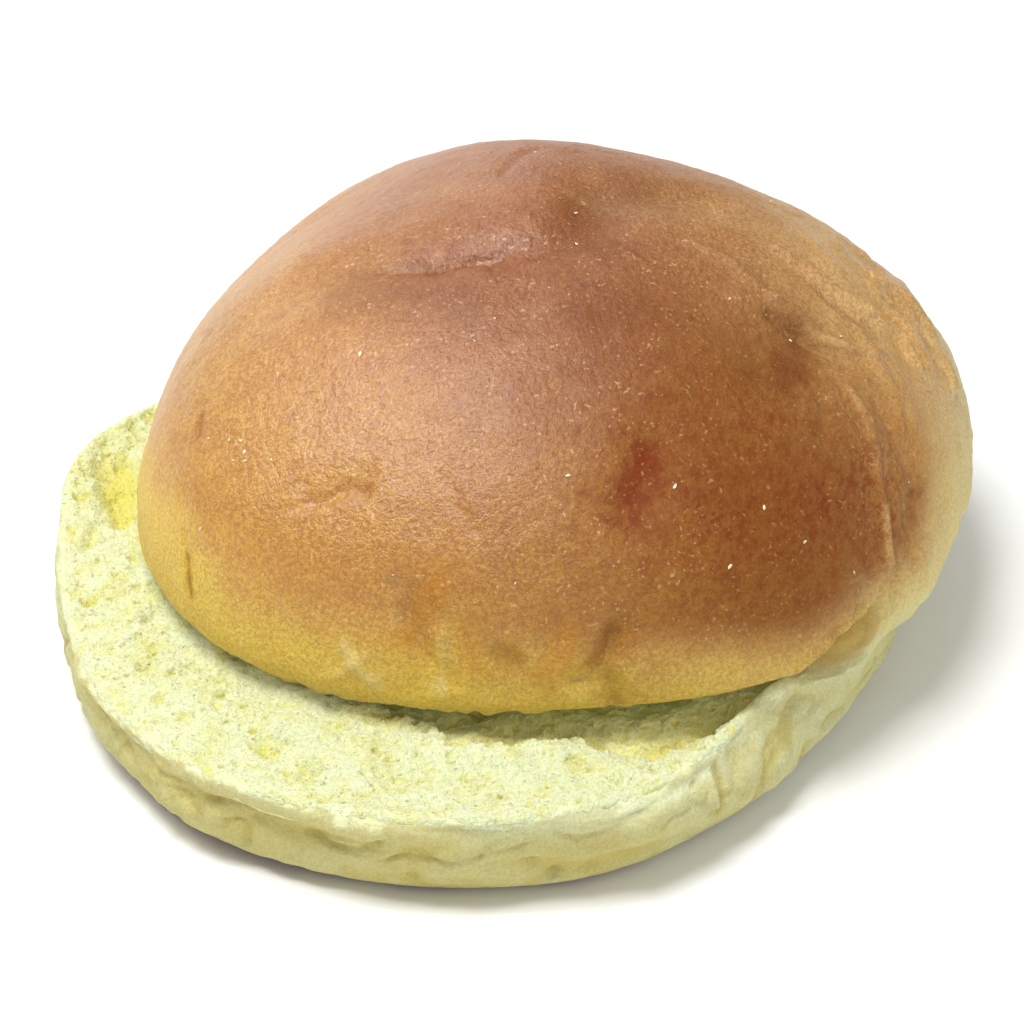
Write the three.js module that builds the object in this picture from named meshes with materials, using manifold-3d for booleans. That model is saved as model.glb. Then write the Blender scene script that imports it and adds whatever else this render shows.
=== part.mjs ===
// A soft bread roll, cut nearly through, with its crown pushed back over its heel.
// It is one piece: at one side the skin and crumb run on from crown to heel.
// Units are millimetres and +Z is up. Azimuth 0 is +X and 90 is +Y, away from the viewer.
import * as THREE from 'three';
import { mergeVertices } from 'three/addons/utils/BufferGeometryUtils.js';
import Module from 'manifold-3d';

const wasm = await Module();
wasm.setup();
const DEGREE = Math.PI / 180;

// The heel, a thick disc with a flat base and the cut face on top.
// Lobes are soft waves round the rim: how many, their share of the radius, and an azimuth of a crest.
const HEEL = {
  centre: [-0.1, 4.4],
  radius: 55.8,
  lobes: [[2, 0.008, 55], [3, 0.034, 21], [4, 0.004, 34], [5, 0.009, 5]],
  cutHeight: 14.4,
  cutDip: 1.5, // the cut face is lower at the front left
  cutDipAzimuth: 215,
  undercut: 7.0, // how far the base's edge lies inside the side
  hingeUndercut: 2.5, // and how much further below the hinge
  hingeUndercutAzimuth: 0,
  hingeUndercutSpread: 50,
  shoulder: 7.0, // height at which the side is widest
  rimRound: 1.1,
};

// Where the heel's rim curls inwards, by the front end of the hinge, and where it flares out
const RIM_CURLS = [
  { azimuth: -46, spread: 13, inward: 3.8 },
  { azimuth: 153, spread: 15, inward: -3.0 },
];

// The crown, a lopsided dome
const CROWN = {
  centre: [11.2, 20.3],
  radius: 56.8,
  lobes: [[2, 0.040, 72], [3, 0.027, 100], [4, 0.018, 25], [5, 0.007, 24]],
  waistHeight: 18.4, // where it is widest
  top: 58.8,
  apex: [7.9, 17.2],
  roundness: 1.25,
  fullness: 0.93,
  lean: 1.5, // how late its middle moves over to the apex
  curlUnder: 1.7, // how far the lower rim curls in below the waist
};
const FOOT_LATITUDE = 8; // stands for the stretch from the waist down to the lower rim

// The columns of the skin are planes through this axis, where rings of heel and crown cross alike.
const AXIS = [5.5, 12.3];

// The knife's slot between them, and the hinge that it leaves
const SLOT = {
  gap: 1.3,
  frontGap: 1.1, // more gap in front
  frontAzimuth: -75,
  frontSpread: 32,
  frontFrom: 0.2, // shares of the crown's radius over which it opens
  frontTo: 0.9,
  floor: 0.15, // above the cut face
  lipBelow: 0.45, // how far the skin first runs down into it
  past: 1.5, // how far it runs out past the crown's rim
  uncut: 0.42, // share of the radius left uncut in the hinge
  columns: 60,
  rings: 5,
};
const HINGE = {
  from: -50, // azimuths about the axis
  to: 102,
  blend: 9,
  endShare: 1.9, // where on the heel's side its skin starts, at its ends and in its middle
  middleShare: 1.35,
  outward: 0.4, // share of the overhang that it first runs level
  endHang: 0.1, // share of its height over which the crown's skin hangs down
  middleHang: 0.72,
  taper: 38, // degrees from its ends to where the middle's shape holds
  footFrom: 0.6, // share of the way up the crown's foot where its skin ends
  creaseDepth: 3.0, // of the fold at its front end
  creaseSpread: 13,
  creaseWidth: 2.2,
  creaseAt: 0.4,
};

// How finely the skin is divided
const COLUMNS = 112;
const BASE_RINGS = [0.35, 0.7, 1];
const EDGE_ROWS = 3;
const SIDE_ROWS = 3;
const LEDGE_ROWS = 9;
const FOOT_ROWS = 2;
const DOME_ROWS = 22;
const DOME_CROWDING = 0.9; // under 1 sets its rows closer towards the top

// Creases and dents of the crown. Ends are [azimuth, latitude] on the dome in degrees.
// Width and depth are in millimetres, and a negative depth is a ridge.
const CROWN_CREASES = [
  {
    points: [[-161, 51], [-146, 64], [-135, 70], [-114, 74], [-75, 75], [-32, 78], [20, 76], [18, 62]],
    width: 5,
    depth: 1.5,
  },
  { points: [[-138, 68], [-128, 72], [-115, 74]], width: 2.4, depth: 0.6 },
  { points: [[-45, 44], [-34, 45], [-22, 42]], width: 4.0, depth: 1.2 },
  { points: [[-32, 54], [-23, 46], [-16, 38]], width: 2.6, depth: -0.7 },
  { points: [[-80, 31], [-77, 34], [-74, 38]], width: 3.4, depth: 0.7 },
  { points: [[-125, 28], [-122, 30], [-119, 32]], width: 2.2, depth: 0.45 },
  { points: [[-1, 35], [-10, 30]], width: 2.4, depth: 0.8 },
  { points: [[-84, 12], [-86, 6], [-84, 0]], width: 2.2, depth: 0.8 },
  { points: [[-110, 18], [-108, 10], [-106, 4]], width: 2.6, depth: 0.5 },
  { points: [[-48, 6], [-42, 2]], width: 2.8, depth: 0.7 },
  { points: [[-29, 12], [-25, 0]], width: 2.6, depth: 0.6 },
  { points: [[165, 30], [150, 42], [135, 52]], width: 14, depth: 0.8 },
  { points: [[40, 45], [25, 35], [10, 20]], width: 14, depth: -0.8 },
];
// Soft unevenness all over the crown: lengths of each wave along x, y and z, and where it starts in degrees
const CROWN_SWELLS = [
  { height: 0.25, lengths: [60, 69, 82], start: -40 },
  { height: 0.25, lengths: [60, -69, 82], start: 40 },
  { height: 0.15, lengths: [94, 40, 50], start: 109 },
  { height: 0.15, lengths: [94, 40, -50], start: 109 },
];
const CREASES_FADE_TO = 2; // latitude above which the crown's unevenness is full

// Hollows torn in the cut face: plan position, half length, half width, depth and azimuth of the length
const CRUMB_HOLLOWS = [
  { at: [-47.5, 21], length: 10, width: 2.4, depth: 3.0, azimuth: 94 },
  { at: [-24.6, -37], length: 2.6, width: 2.0, depth: 1.4, azimuth: 100 },
  { at: [-9.2, -43], length: 2.6, width: 2.0, depth: 1.3, azimuth: 10 },
  { at: [24, -36.5], length: 7, width: 2.4, depth: 1.6, azimuth: 30 },
];
const CRUMB_ROUGHNESS = 0.6;
const CRUMB_LUMP = 4.3; // the size of its lumps
const CRUMB_FINE_SHARE = 0.5; // height and size of its finer lumps, beside the coarse ones
const CRUMB_RIM_FADE = 0.08; // shares of the cut face over which the lumps fade out
const CRUMB_CROWN_FADE = [0.1, 0.35];
// Overhangs of the crown, in millimetres, between which the cut face comes to be covered
const COVERED = [-0.8, 0.2];
// Any large numbers do here: they scatter the heights of the lumps.
const SCATTER = { across: 12.9898, along: 78.233, spread: 437.5853 };

// Folds of the heel's pale side: azimuths of the ends, height, half width and depth
const HEEL_FOLDS = [
  { from: -150, to: -98, height: 8.6, width: 1.4, depth: 0.7 },
  { from: -125, to: -70, height: 4.6, width: 1.3, depth: 0.6 },
  { from: -74, to: -58, height: 8.6, width: 3.4, depth: -0.9 },
];
const HEEL_FOLD_END = 6; // degrees over which a fold fades at its ends
// Puckers round the heel's side: how many, their depth, their lean in degrees per millimetre, and start
const HEEL_PUCKERS = [
  { count: 9, depth: 0.3, lean: 28.6, start: 0 },
  { count: 14, depth: 0.3, lean: 0, start: 57 },
];
const PUCKERS_FROM = 0.1; // share of the lower edge where they begin
const TRIES = 8; // for finding an azimuth

// Eases from 0 to 1 as value runs from low to high.
function ease(low, high, value) {
  const share = Math.min(Math.max((value - low) / (high - low), 0), 1);
  return share * share * (3 - 2 * share);
}

// The smallest turn from one azimuth to another, in degrees.
function turn(from, to) {
  return ((to - from + 540) % 360 + 360) % 360 - 180;
}

function bell(distance, width) {
  return Math.exp(-((distance / width) ** 2));
}

function mix(a, b, share) {
  return a + (b - a) * share;
}

// The radius of a ring with soft lobes.
function lobedRadius(shape, azimuth) {
  let share = 1;
  for (const [count, amount, at] of shape.lobes) {
    share += amount * Math.cos(count * (azimuth - at) * DEGREE);
  }
  return shape.radius * share;
}

function around(centre, radius, azimuth, height) {
  const angle = azimuth * DEGREE;
  return new THREE.Vector3(
    centre[0] + radius * Math.cos(angle),
    centre[1] + radius * Math.sin(angle),
    height,
  );
}

// The azimuth about a shape's own centre of the point that its ring shows at an azimuth about the axis.
function ownAzimuth(shape, azimuth, inset) {
  let own = azimuth;
  for (let i = 0; i < TRIES; i += 1) {
    const point = around(shape.centre, lobedRadius(shape, own) - inset, own, 0);
    own += turn(axisAzimuth(point.x, point.y), azimuth);
  }
  return own;
}

function axisAzimuth(x, y) {
  return Math.atan2(y - AXIS[1], x - AXIS[0]) / DEGREE;
}

function axisDistance(point) {
  return Math.hypot(point.x - AXIS[0], point.y - AXIS[1]);
}

// How many degrees an azimuth lies inside the nearer end of the hinge.
function intoHinge(azimuth) {
  const middle = (HINGE.from + HINGE.to) / 2;
  return (HINGE.to - HINGE.from) / 2 - Math.abs(turn(middle, azimuth));
}

// 1 where crown and heel hang together, 0 where the knife went through.
function joined(azimuth) {
  return ease(0, HINGE.blend, intoHinge(azimuth));
}

// Where on the heel's side the hinge's skin starts.
function hingeShare(azimuth) {
  return mix(HINGE.endShare, HINGE.middleShare, ease(0, HINGE.taper, intoHinge(azimuth)));
}

function cutHeight(x, y) {
  const dx = x - HEEL.centre[0];
  const dy = y - HEEL.centre[1];
  const toDip = dx * Math.cos(HEEL.cutDipAzimuth * DEGREE) + dy * Math.sin(HEEL.cutDipAzimuth * DEGREE);
  return HEEL.cutHeight - HEEL.cutDip * toDip / HEEL.radius;
}

function slotGap(x, y) {
  const azimuth = Math.atan2(y - CROWN.centre[1], x - CROWN.centre[0]) / DEGREE;
  const reach = Math.hypot(x - CROWN.centre[0], y - CROWN.centre[1]) / CROWN.radius;
  const front = bell(turn(SLOT.frontAzimuth, azimuth), SLOT.frontSpread);
  return SLOT.gap + SLOT.frontGap * front * ease(SLOT.frontFrom, SLOT.frontTo, reach);
}

// Distance from a point to a chain of straight pieces.
function distanceToChain(point, chain) {
  let nearest = Infinity;
  const foot = new THREE.Vector3();
  for (let i = 1; i < chain.length; i += 1) {
    new THREE.Line3(chain[i - 1], chain[i]).closestPointToPoint(point, true, foot);
    nearest = Math.min(nearest, point.distanceTo(foot));
  }
  return nearest;
}

// The smooth dome. Latitude 0 is its waist and 90 its top; below the waist the skin curls in.
function smoothDome(azimuth, latitude) {
  const radius = lobedRadius(CROWN, azimuth);
  if (latitude < 0) {
    const foot = around(CROWN.centre, radius, azimuth, 0);
    const lip = cutHeight(foot.x, foot.y) + slotGap(foot.x, foot.y) - SLOT.lipBelow;
    const share = Math.min(-latitude / FOOT_LATITUDE, 1);
    const height = mix(CROWN.waistHeight, lip, share);
    return around(CROWN.centre, radius - CROWN.curlUnder * share ** 2, azimuth, height);
  }
  const rise = Math.sin(latitude * DEGREE) ** CROWN.fullness;
  const lean = rise ** CROWN.lean;
  const centre = [
    mix(CROWN.centre[0], CROWN.apex[0], lean),
    mix(CROWN.centre[1], CROWN.apex[1], lean),
  ];
  const ring = radius * Math.max(Math.cos(latitude * DEGREE), 0) ** CROWN.roundness;
  return around(centre, ring, azimuth, mix(CROWN.waistHeight, CROWN.top, rise));
}

const CREASE_CHAINS = CROWN_CREASES.map((crease) => crease.points.map(([azimuth, latitude]) => (
  smoothDome(azimuth, latitude)
)));

function crownRelief(point) {
  let relief = 0;
  for (const { height, lengths, start } of CROWN_SWELLS) {
    const turns = point.x / lengths[0] + point.y / lengths[1] + point.z / lengths[2];
    relief += height * Math.sin((360 * turns + start) * DEGREE);
  }
  CROWN_CREASES.forEach((crease, i) => {
    relief -= crease.depth * bell(distanceToChain(point, CREASE_CHAINS[i]), crease.width);
  });
  return relief;
}

function crownPoint(azimuth, latitude) {
  const point = smoothDome(azimuth, latitude);
  const core = new THREE.Vector3(CROWN.apex[0], CROWN.apex[1], CROWN.waistHeight);
  const outward = point.clone().sub(core).normalize();
  const fade = ease(-FOOT_LATITUDE, CREASES_FADE_TO, latitude);
  return point.addScaledVector(outward, crownRelief(point) * fade);
}

function heelRelief(azimuth, height) {
  let relief = 0;
  for (const { count, depth, lean, start } of HEEL_PUCKERS) {
    relief += depth * Math.sin((count * azimuth + lean * height + start) * DEGREE);
  }
  for (const fold of HEEL_FOLDS) {
    const middle = (fold.from + fold.to) / 2;
    const half = (fold.to - fold.from) / 2;
    const away = Math.abs(turn(middle, azimuth));
    const along = 1 - ease(half - HEEL_FOLD_END, half + HEEL_FOLD_END, away);
    relief -= fold.depth * along * bell(height - fold.height, fold.width);
  }
  return relief;
}

// How far the base's edge lies inside the side at an azimuth.
function undercut(azimuth) {
  const away = turn(HEEL.hingeUndercutAzimuth, azimuth);
  return HEEL.undercut + HEEL.hingeUndercut * bell(away, HEEL.hingeUndercutSpread);
}

// A fixed random height from -1 to 1 at each corner of a square net.
function latticeHeight(column, row) {
  const wave = Math.sin(column * SCATTER.across + row * SCATTER.along) * SCATTER.spread;
  return 2 * (wave - Math.floor(wave)) - 1;
}

// Smooth random lumps of a given size, from -1 to 1.
function lumps(x, y, size) {
  const column = Math.floor(x / size);
  const row = Math.floor(y / size);
  const across = ease(0, 1, x / size - column);
  const along = ease(0, 1, y / size - row);
  const near = mix(latticeHeight(column, row), latticeHeight(column + 1, row), across);
  const far = mix(latticeHeight(column, row + 1), latticeHeight(column + 1, row + 1), across);
  return mix(near, far, along);
}

function crumbRelief(x, y) {
  const fine = lumps(y, -x, CRUMB_LUMP * CRUMB_FINE_SHARE);
  let relief = CRUMB_ROUGHNESS * (lumps(x, y, CRUMB_LUMP) + CRUMB_FINE_SHARE * fine);
  for (const hollow of CRUMB_HOLLOWS) {
    const angle = hollow.azimuth * DEGREE;
    const dx = x - hollow.at[0];
    const dy = y - hollow.at[1];
    const along = (dx * Math.cos(angle) + dy * Math.sin(angle)) / hollow.length;
    const across = (dy * Math.cos(angle) - dx * Math.sin(angle)) / hollow.width;
    relief -= hollow.depth * Math.exp(-(along ** 4) - across ** 2);
  }
  return relief;
}

// The heel's side: share 0 to 1 goes round its lower edge, and 1 to 2 up to the rim.
function heelSide(azimuth, share) {
  const radius = lobedRadius(HEEL, azimuth);
  if (share <= 1) {
    const angle = share * Math.PI / 2;
    const height = HEEL.shoulder * (1 - Math.cos(angle));
    const relief = heelRelief(azimuth, height) * ease(PUCKERS_FROM, 1, share);
    const inset = undercut(azimuth) * (1 - Math.sin(angle));
    return around(HEEL.centre, radius - inset + relief, azimuth, height);
  }
  const rim = around(HEEL.centre, radius, azimuth, 0);
  const top = cutHeight(rim.x, rim.y) - HEEL.rimRound;
  const height = mix(HEEL.shoulder, top, share - 1);
  const curl = rimCurl(azimuth) * (share - 1) ** 2;
  return around(HEEL.centre, radius + heelRelief(azimuth, height) - curl, azimuth, height);
}

function rimCurl(azimuth) {
  return RIM_CURLS.reduce((sum, curl) => (
    sum + curl.inward * bell(turn(curl.azimuth, azimuth), curl.spread)
  ), 0);
}

// The hinge's skin: out from the heel's side, then up the bulge that hangs from the crown.
function hingePoint(azimuth, heelAzimuth, crownAzimuth, share) {
  const low = heelSide(heelAzimuth, hingeShare(azimuth));
  const high = crownPoint(crownAzimuth, -FOOT_LATITUDE / 2);
  const outward = high.clone().sub(low).setZ(0).multiplyScalar(HINGE.outward);
  const hangShare = mix(HINGE.endHang, HINGE.middleHang, ease(0, HINGE.taper, intoHinge(azimuth)));
  const hang = new THREE.Vector3(0, 0, (low.z - high.z) * hangShare);
  const skin = new THREE.CubicBezierCurve3(low, low.clone().add(outward), high.clone().add(hang), high);
  const depth = HINGE.creaseDepth * bell(turn(HINGE.from, azimuth), HINGE.creaseSpread);
  const crease = depth * bell((share - HINGE.creaseAt) * low.distanceTo(high), HINGE.creaseWidth);
  return skin.getPoint(share).sub(around([0, 0], crease, azimuth, 0));
}

// From the heel's rim to the crown's lower rim: the cut face where it is open, skin at the hinge.
function ledgePoint(azimuth, heelAzimuth, crownAzimuth, share) {
  const rimRadius = lobedRadius(HEEL, heelAzimuth) - HEEL.rimRound - rimCurl(heelAzimuth);
  const outer = around(HEEL.centre, rimRadius, heelAzimuth, 0);
  const inner = smoothDome(crownAzimuth, -FOOT_LATITUDE);
  const open = outer.clone().lerp(inner, share);
  const overhang = axisDistance(inner) - axisDistance(outer);
  const covered = ease(...COVERED, overhang);
  const fade = ease(...CRUMB_CROWN_FADE, 1 - share) * ease(0, CRUMB_RIM_FADE, share);
  const relief = crumbRelief(open.x, open.y) * fade;
  open.z = cutHeight(open.x, open.y) + mix(relief, slotGap(open.x, open.y) / 2, covered);
  return open.lerp(hingePoint(azimuth, heelAzimuth, crownAzimuth, share), joined(azimuth));
}

// The rows of the skin from the base up to the top. Each gives the point at one column's azimuths.
function skinRows() {
  const rows = [];
  for (const share of BASE_RINGS) {
    rows.push(({ heel }) => (
      around(HEEL.centre, (lobedRadius(HEEL, heel) - undercut(heel)) * share, heel, 0)
    ));
  }
  for (let i = 1; i <= EDGE_ROWS; i += 1) {
    rows.push(({ heel }) => heelSide(heel, i / EDGE_ROWS));
  }
  for (let i = 1; i <= SIDE_ROWS; i += 1) {
    rows.push(({ axis, heel }) => (
      heelSide(heel, 1 + (i / SIDE_ROWS) * mix(1, hingeShare(axis) - 1, joined(axis)))
    ));
  }
  for (let i = 0; i <= LEDGE_ROWS; i += 1) {
    rows.push(({ axis, heel, crown }) => ledgePoint(axis, heel, crown, i / LEDGE_ROWS));
  }
  for (let i = 0; i <= FOOT_ROWS; i += 1) {
    const share = i / FOOT_ROWS;
    rows.push(({ axis, crown }) => (
      crownPoint(crown, -FOOT_LATITUDE * (1 - mix(share, mix(HINGE.footFrom, 1, share), joined(axis))))
    ));
  }
  for (let i = 1; i < DOME_ROWS; i += 1) {
    rows.push(({ crown }) => crownPoint(crown, 90 * (i / DOME_ROWS) ** DOME_CROWDING));
  }
  return rows;
}

// A closed surface from rings of points, with a single point at each pole.
function closedRings(rings, bottom, top) {
  const columns = rings[0].length;
  const points = [bottom, ...rings.flat(), top];
  const last = points.length - 1;
  const at = (row, column) => 1 + row * columns + (column % columns);
  const faces = [];
  for (let column = 0; column < columns; column += 1) {
    faces.push(0, at(0, column + 1), at(0, column));
    faces.push(last, at(rings.length - 1, column), at(rings.length - 1, column + 1));
    for (let row = 1; row < rings.length; row += 1) {
      faces.push(at(row - 1, column), at(row - 1, column + 1), at(row, column + 1));
      faces.push(at(row - 1, column), at(row, column + 1), at(row, column));
    }
  }
  const geometry = new THREE.BufferGeometry().setFromPoints(points);
  geometry.setIndex(faces);
  return geometry;
}

function wholeRoll() {
  const columns = Array.from({ length: COLUMNS }, (_, i) => {
    const axis = (360 * i) / COLUMNS;
    return {
      axis,
      heel: ownAzimuth(HEEL, axis, HEEL.rimRound),
      crown: ownAzimuth(CROWN, axis, CROWN.curlUnder),
    };
  });
  const rings = skinRows().map((row) => columns.map(row));
  const bottom = new THREE.Vector3(HEEL.centre[0], HEEL.centre[1], 0);
  return closedRings(rings, bottom, crownPoint(0, 90));
}

// The thin slot that the knife left, a little wider in plan than the crown where it is open.
function knifeSlot() {
  const azimuths = Array.from({ length: SLOT.columns }, (_, i) => (360 * i) / SLOT.columns);
  const reach = azimuths.map((azimuth) => {
    const foot = smoothDome(ownAzimuth(CROWN, azimuth, CROWN.curlUnder), -FOOT_LATITUDE);
    const open = axisDistance(foot) + SLOT.past;
    return mix(open, open * (1 - SLOT.uncut), joined(azimuth));
  });
  const level = (point, above) => {
    point.z = cutHeight(point.x, point.y) + (above ? slotGap(point.x, point.y) : SLOT.floor);
    return point;
  };
  const ring = (share, above) => azimuths.map((azimuth, i) => (
    level(around(AXIS, reach[i] * share, azimuth, 0), above)
  ));
  const rings = [];
  for (let i = 1; i <= SLOT.rings; i += 1) rings.push(ring(i / SLOT.rings, false));
  for (let i = SLOT.rings; i >= 1; i -= 1) rings.push(ring(i / SLOT.rings, true));
  return closedRings(rings, level(around(AXIS, 0, 0, 0), false), level(around(AXIS, 0, 0, 0), true));
}

function toSolid(geometry) {
  geometry.deleteAttribute('normal');
  geometry.deleteAttribute('uv');
  const merged = mergeVertices(geometry);
  return new wasm.Manifold(new wasm.Mesh({
    numProp: 3,
    vertProperties: new Float32Array(merged.attributes.position.array),
    triVerts: new Uint32Array(merged.index.array),
  }));
}

function toGeometry(solid) {
  const mesh = solid.getMesh();
  const geometry = new THREE.BufferGeometry();
  geometry.setAttribute('position', new THREE.BufferAttribute(mesh.vertProperties, 3));
  geometry.setIndex(new THREE.BufferAttribute(mesh.triVerts, 1));
  geometry.computeVertexNormals();
  return geometry;
}

// Cutting can leave a crumb loose where the rims cross, so only the roll itself is kept.
function largest(solid) {
  return solid.decompose().reduce((kept, piece) => (piece.volume() > kept.volume() ? piece : kept));
}

const crust = new THREE.MeshStandardMaterial({ color: 0xb9773f, roughness: 0.5, metalness: 0 });
const cutRoll = largest(toSolid(wholeRoll()).subtract(toSolid(knifeSlot())));
const roll = new THREE.Mesh(toGeometry(cutRoll), crust);
roll.name = 'roll';

// The origin is the middle of the roll's footprint, on the surface that it rests on.
const object = new THREE.Group();
object.add(roll);
const box = new THREE.Box3().setFromObject(object);
const middle = box.getCenter(new THREE.Vector3());
roll.position.set(-middle.x, -middle.y, -box.min.z);

export default object;
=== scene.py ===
import math

import bpy
import numpy as np
from mathutils import Matrix, Vector


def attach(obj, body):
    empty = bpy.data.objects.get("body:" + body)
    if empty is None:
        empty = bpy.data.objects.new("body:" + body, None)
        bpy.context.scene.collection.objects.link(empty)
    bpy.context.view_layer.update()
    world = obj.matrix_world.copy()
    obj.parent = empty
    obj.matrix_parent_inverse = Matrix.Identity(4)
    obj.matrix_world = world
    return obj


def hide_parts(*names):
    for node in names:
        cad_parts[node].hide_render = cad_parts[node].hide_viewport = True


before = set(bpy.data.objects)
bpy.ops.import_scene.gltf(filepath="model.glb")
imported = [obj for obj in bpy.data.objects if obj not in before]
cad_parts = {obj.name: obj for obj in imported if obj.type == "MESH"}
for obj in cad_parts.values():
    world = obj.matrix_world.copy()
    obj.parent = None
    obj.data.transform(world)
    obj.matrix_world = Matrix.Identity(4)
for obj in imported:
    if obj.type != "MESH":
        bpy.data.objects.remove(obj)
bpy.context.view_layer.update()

# The bread roll is worked out in millimetres, +Z up, and moved onto the frame's origin at the end.
MM = 0.001
DEGREE = math.pi / 180
ORIGIN = np.array([5.645, 13.885, 0.0])  # the middle of the roll's footprint

# The heel: a thick disc with a flat base and the cut face on top.
HEEL = {
    "centre": np.array([-0.1, 4.4]),
    "radius": 55.8,
    "lobes": [(2, 0.008, 55), (3, 0.034, 21), (4, 0.004, 34), (5, 0.009, 5)],
}
CUT_HEIGHT = 14.4
CUT_DIP = 1.5
CUT_DIP_AZIMUTH = 215
UNDERCUT = 7.0
HINGE_UNDERCUT = 2.5
HINGE_UNDERCUT_SPREAD = 50
SHOULDER = 7.0
RIM_ROUND = 1.1
RIM_CURLS = [(-46, 13, 3.8), (153, 15, -3.0)]  # azimuth, spread, how far inwards

# The crown: a lopsided dome.
CROWN = {
    "centre": np.array([11.2, 20.3]),
    "radius": 56.8,
    "lobes": [(2, 0.040, 72), (3, 0.027, 100), (4, 0.018, 25), (5, 0.007, 24)],
}
WAIST_HEIGHT = 18.4
CROWN_TOP = 58.8
APEX = np.array([7.9, 17.2])
ROUNDNESS = 1.25
FULLNESS = 0.93
CURL_UNDER = 1.7
FOOT_LATITUDE = 8

# The cut between them, and the hinge that it leaves.
AXIS = np.array([5.5, 12.3])
GAP = 1.3
FRONT_GAP = 1.1
FRONT_AZIMUTH = -75
FRONT_SPREAD = 32
SLOT_DEPTH = 16.0
LIP_ROUND = 0.7
HINGE_FROM = -50
HINGE_TO = 102
HINGE_BLEND = 9
HINGE_END_SHARE = 1.9
HINGE_MIDDLE_SHARE = 1.35
HINGE_OUTWARD = 0.4
HINGE_END_HANG = 0.1
HINGE_MIDDLE_HANG = 0.72
HINGE_TAPER = 38
FOLD_DEPTH = 3.0
FOLD_SPREAD = 13
FOLD_WIDTH = 2.2
FOLD_AT = 0.4
# Where the crown's lip runs out over the hinge: azimuth about the axis, height of the lip, foot of the
# tuck and depth.
LIP_TUCK = (
    (-55, -52, -50, -47.5, -45, -41, -37, -31),
    (15.6, 17.2, 18.4, 19.3, 20.4, 21.2, 21.6, 21.8),
    (14.2, 14.0, 13.9, 13.7, 13.4, 12.8, 12.3, 11.7),
    (0.0, 0.9, 1.8, 2.4, 2.6, 2.0, 0.8, 0.0),
)
HINGE_CREASES = [  # azimuth, spread, share of the way up, width and depth
    (-45, 10, 0.12, 0.8, -0.7),
    (-36, 7, 0.45, 0.5, 0.4),
    (-5, 40, 0.30, 1.2, 0.5),
    (20, 50, 0.55, 1.0, 0.4),
    (70, 30, 0.40, 1.4, 0.5),
]

# Creases, dents and ridges of the crown: ends as [azimuth, latitude], width and depth.
CROWN_CREASES = [
    ([(-161, 51), (-146, 64), (-135, 70), (-114, 74), (-75, 75), (-32, 78), (20, 76), (18, 62)], 5.0, 1.5),
    ([(-138, 68), (-128, 72), (-115, 74)], 2.4, 0.6),
    ([(-45, 44), (-34, 45), (-22, 42)], 4.0, 1.2),
    ([(-32, 54), (-23, 46), (-16, 38)], 2.6, -0.7),
    ([(-80, 31), (-77, 34), (-74, 38)], 3.4, 0.7),
    ([(-125, 28), (-122, 30), (-119, 32)], 2.2, 0.45),
    ([(-1, 35), (-10, 30)], 2.4, 0.8),
    ([(-84, 12), (-86, 6), (-84, 0)], 2.2, 0.8),
    ([(-110, 18), (-108, 10), (-106, 4)], 2.6, 0.5),
    ([(-48, 6), (-42, 2)], 2.8, 0.7),
    ([(-29, 12), (-25, 0)], 2.6, 0.6),
    ([(165, 30), (150, 42), (135, 52)], 14.0, 0.8),
    ([(40, 45), (25, 35), (10, 20)], 14.0, -0.8),
]
CROWN_SWELLS = [  # height, lengths of the wave along x, y and z, and where it starts in degrees
    (0.25, (60, 69, 82), -40),
    (0.25, (60, -69, 82), 40),
    (0.15, (94, 40, 50), 109),
    (0.15, (94, 40, -50), 109),
]

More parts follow.
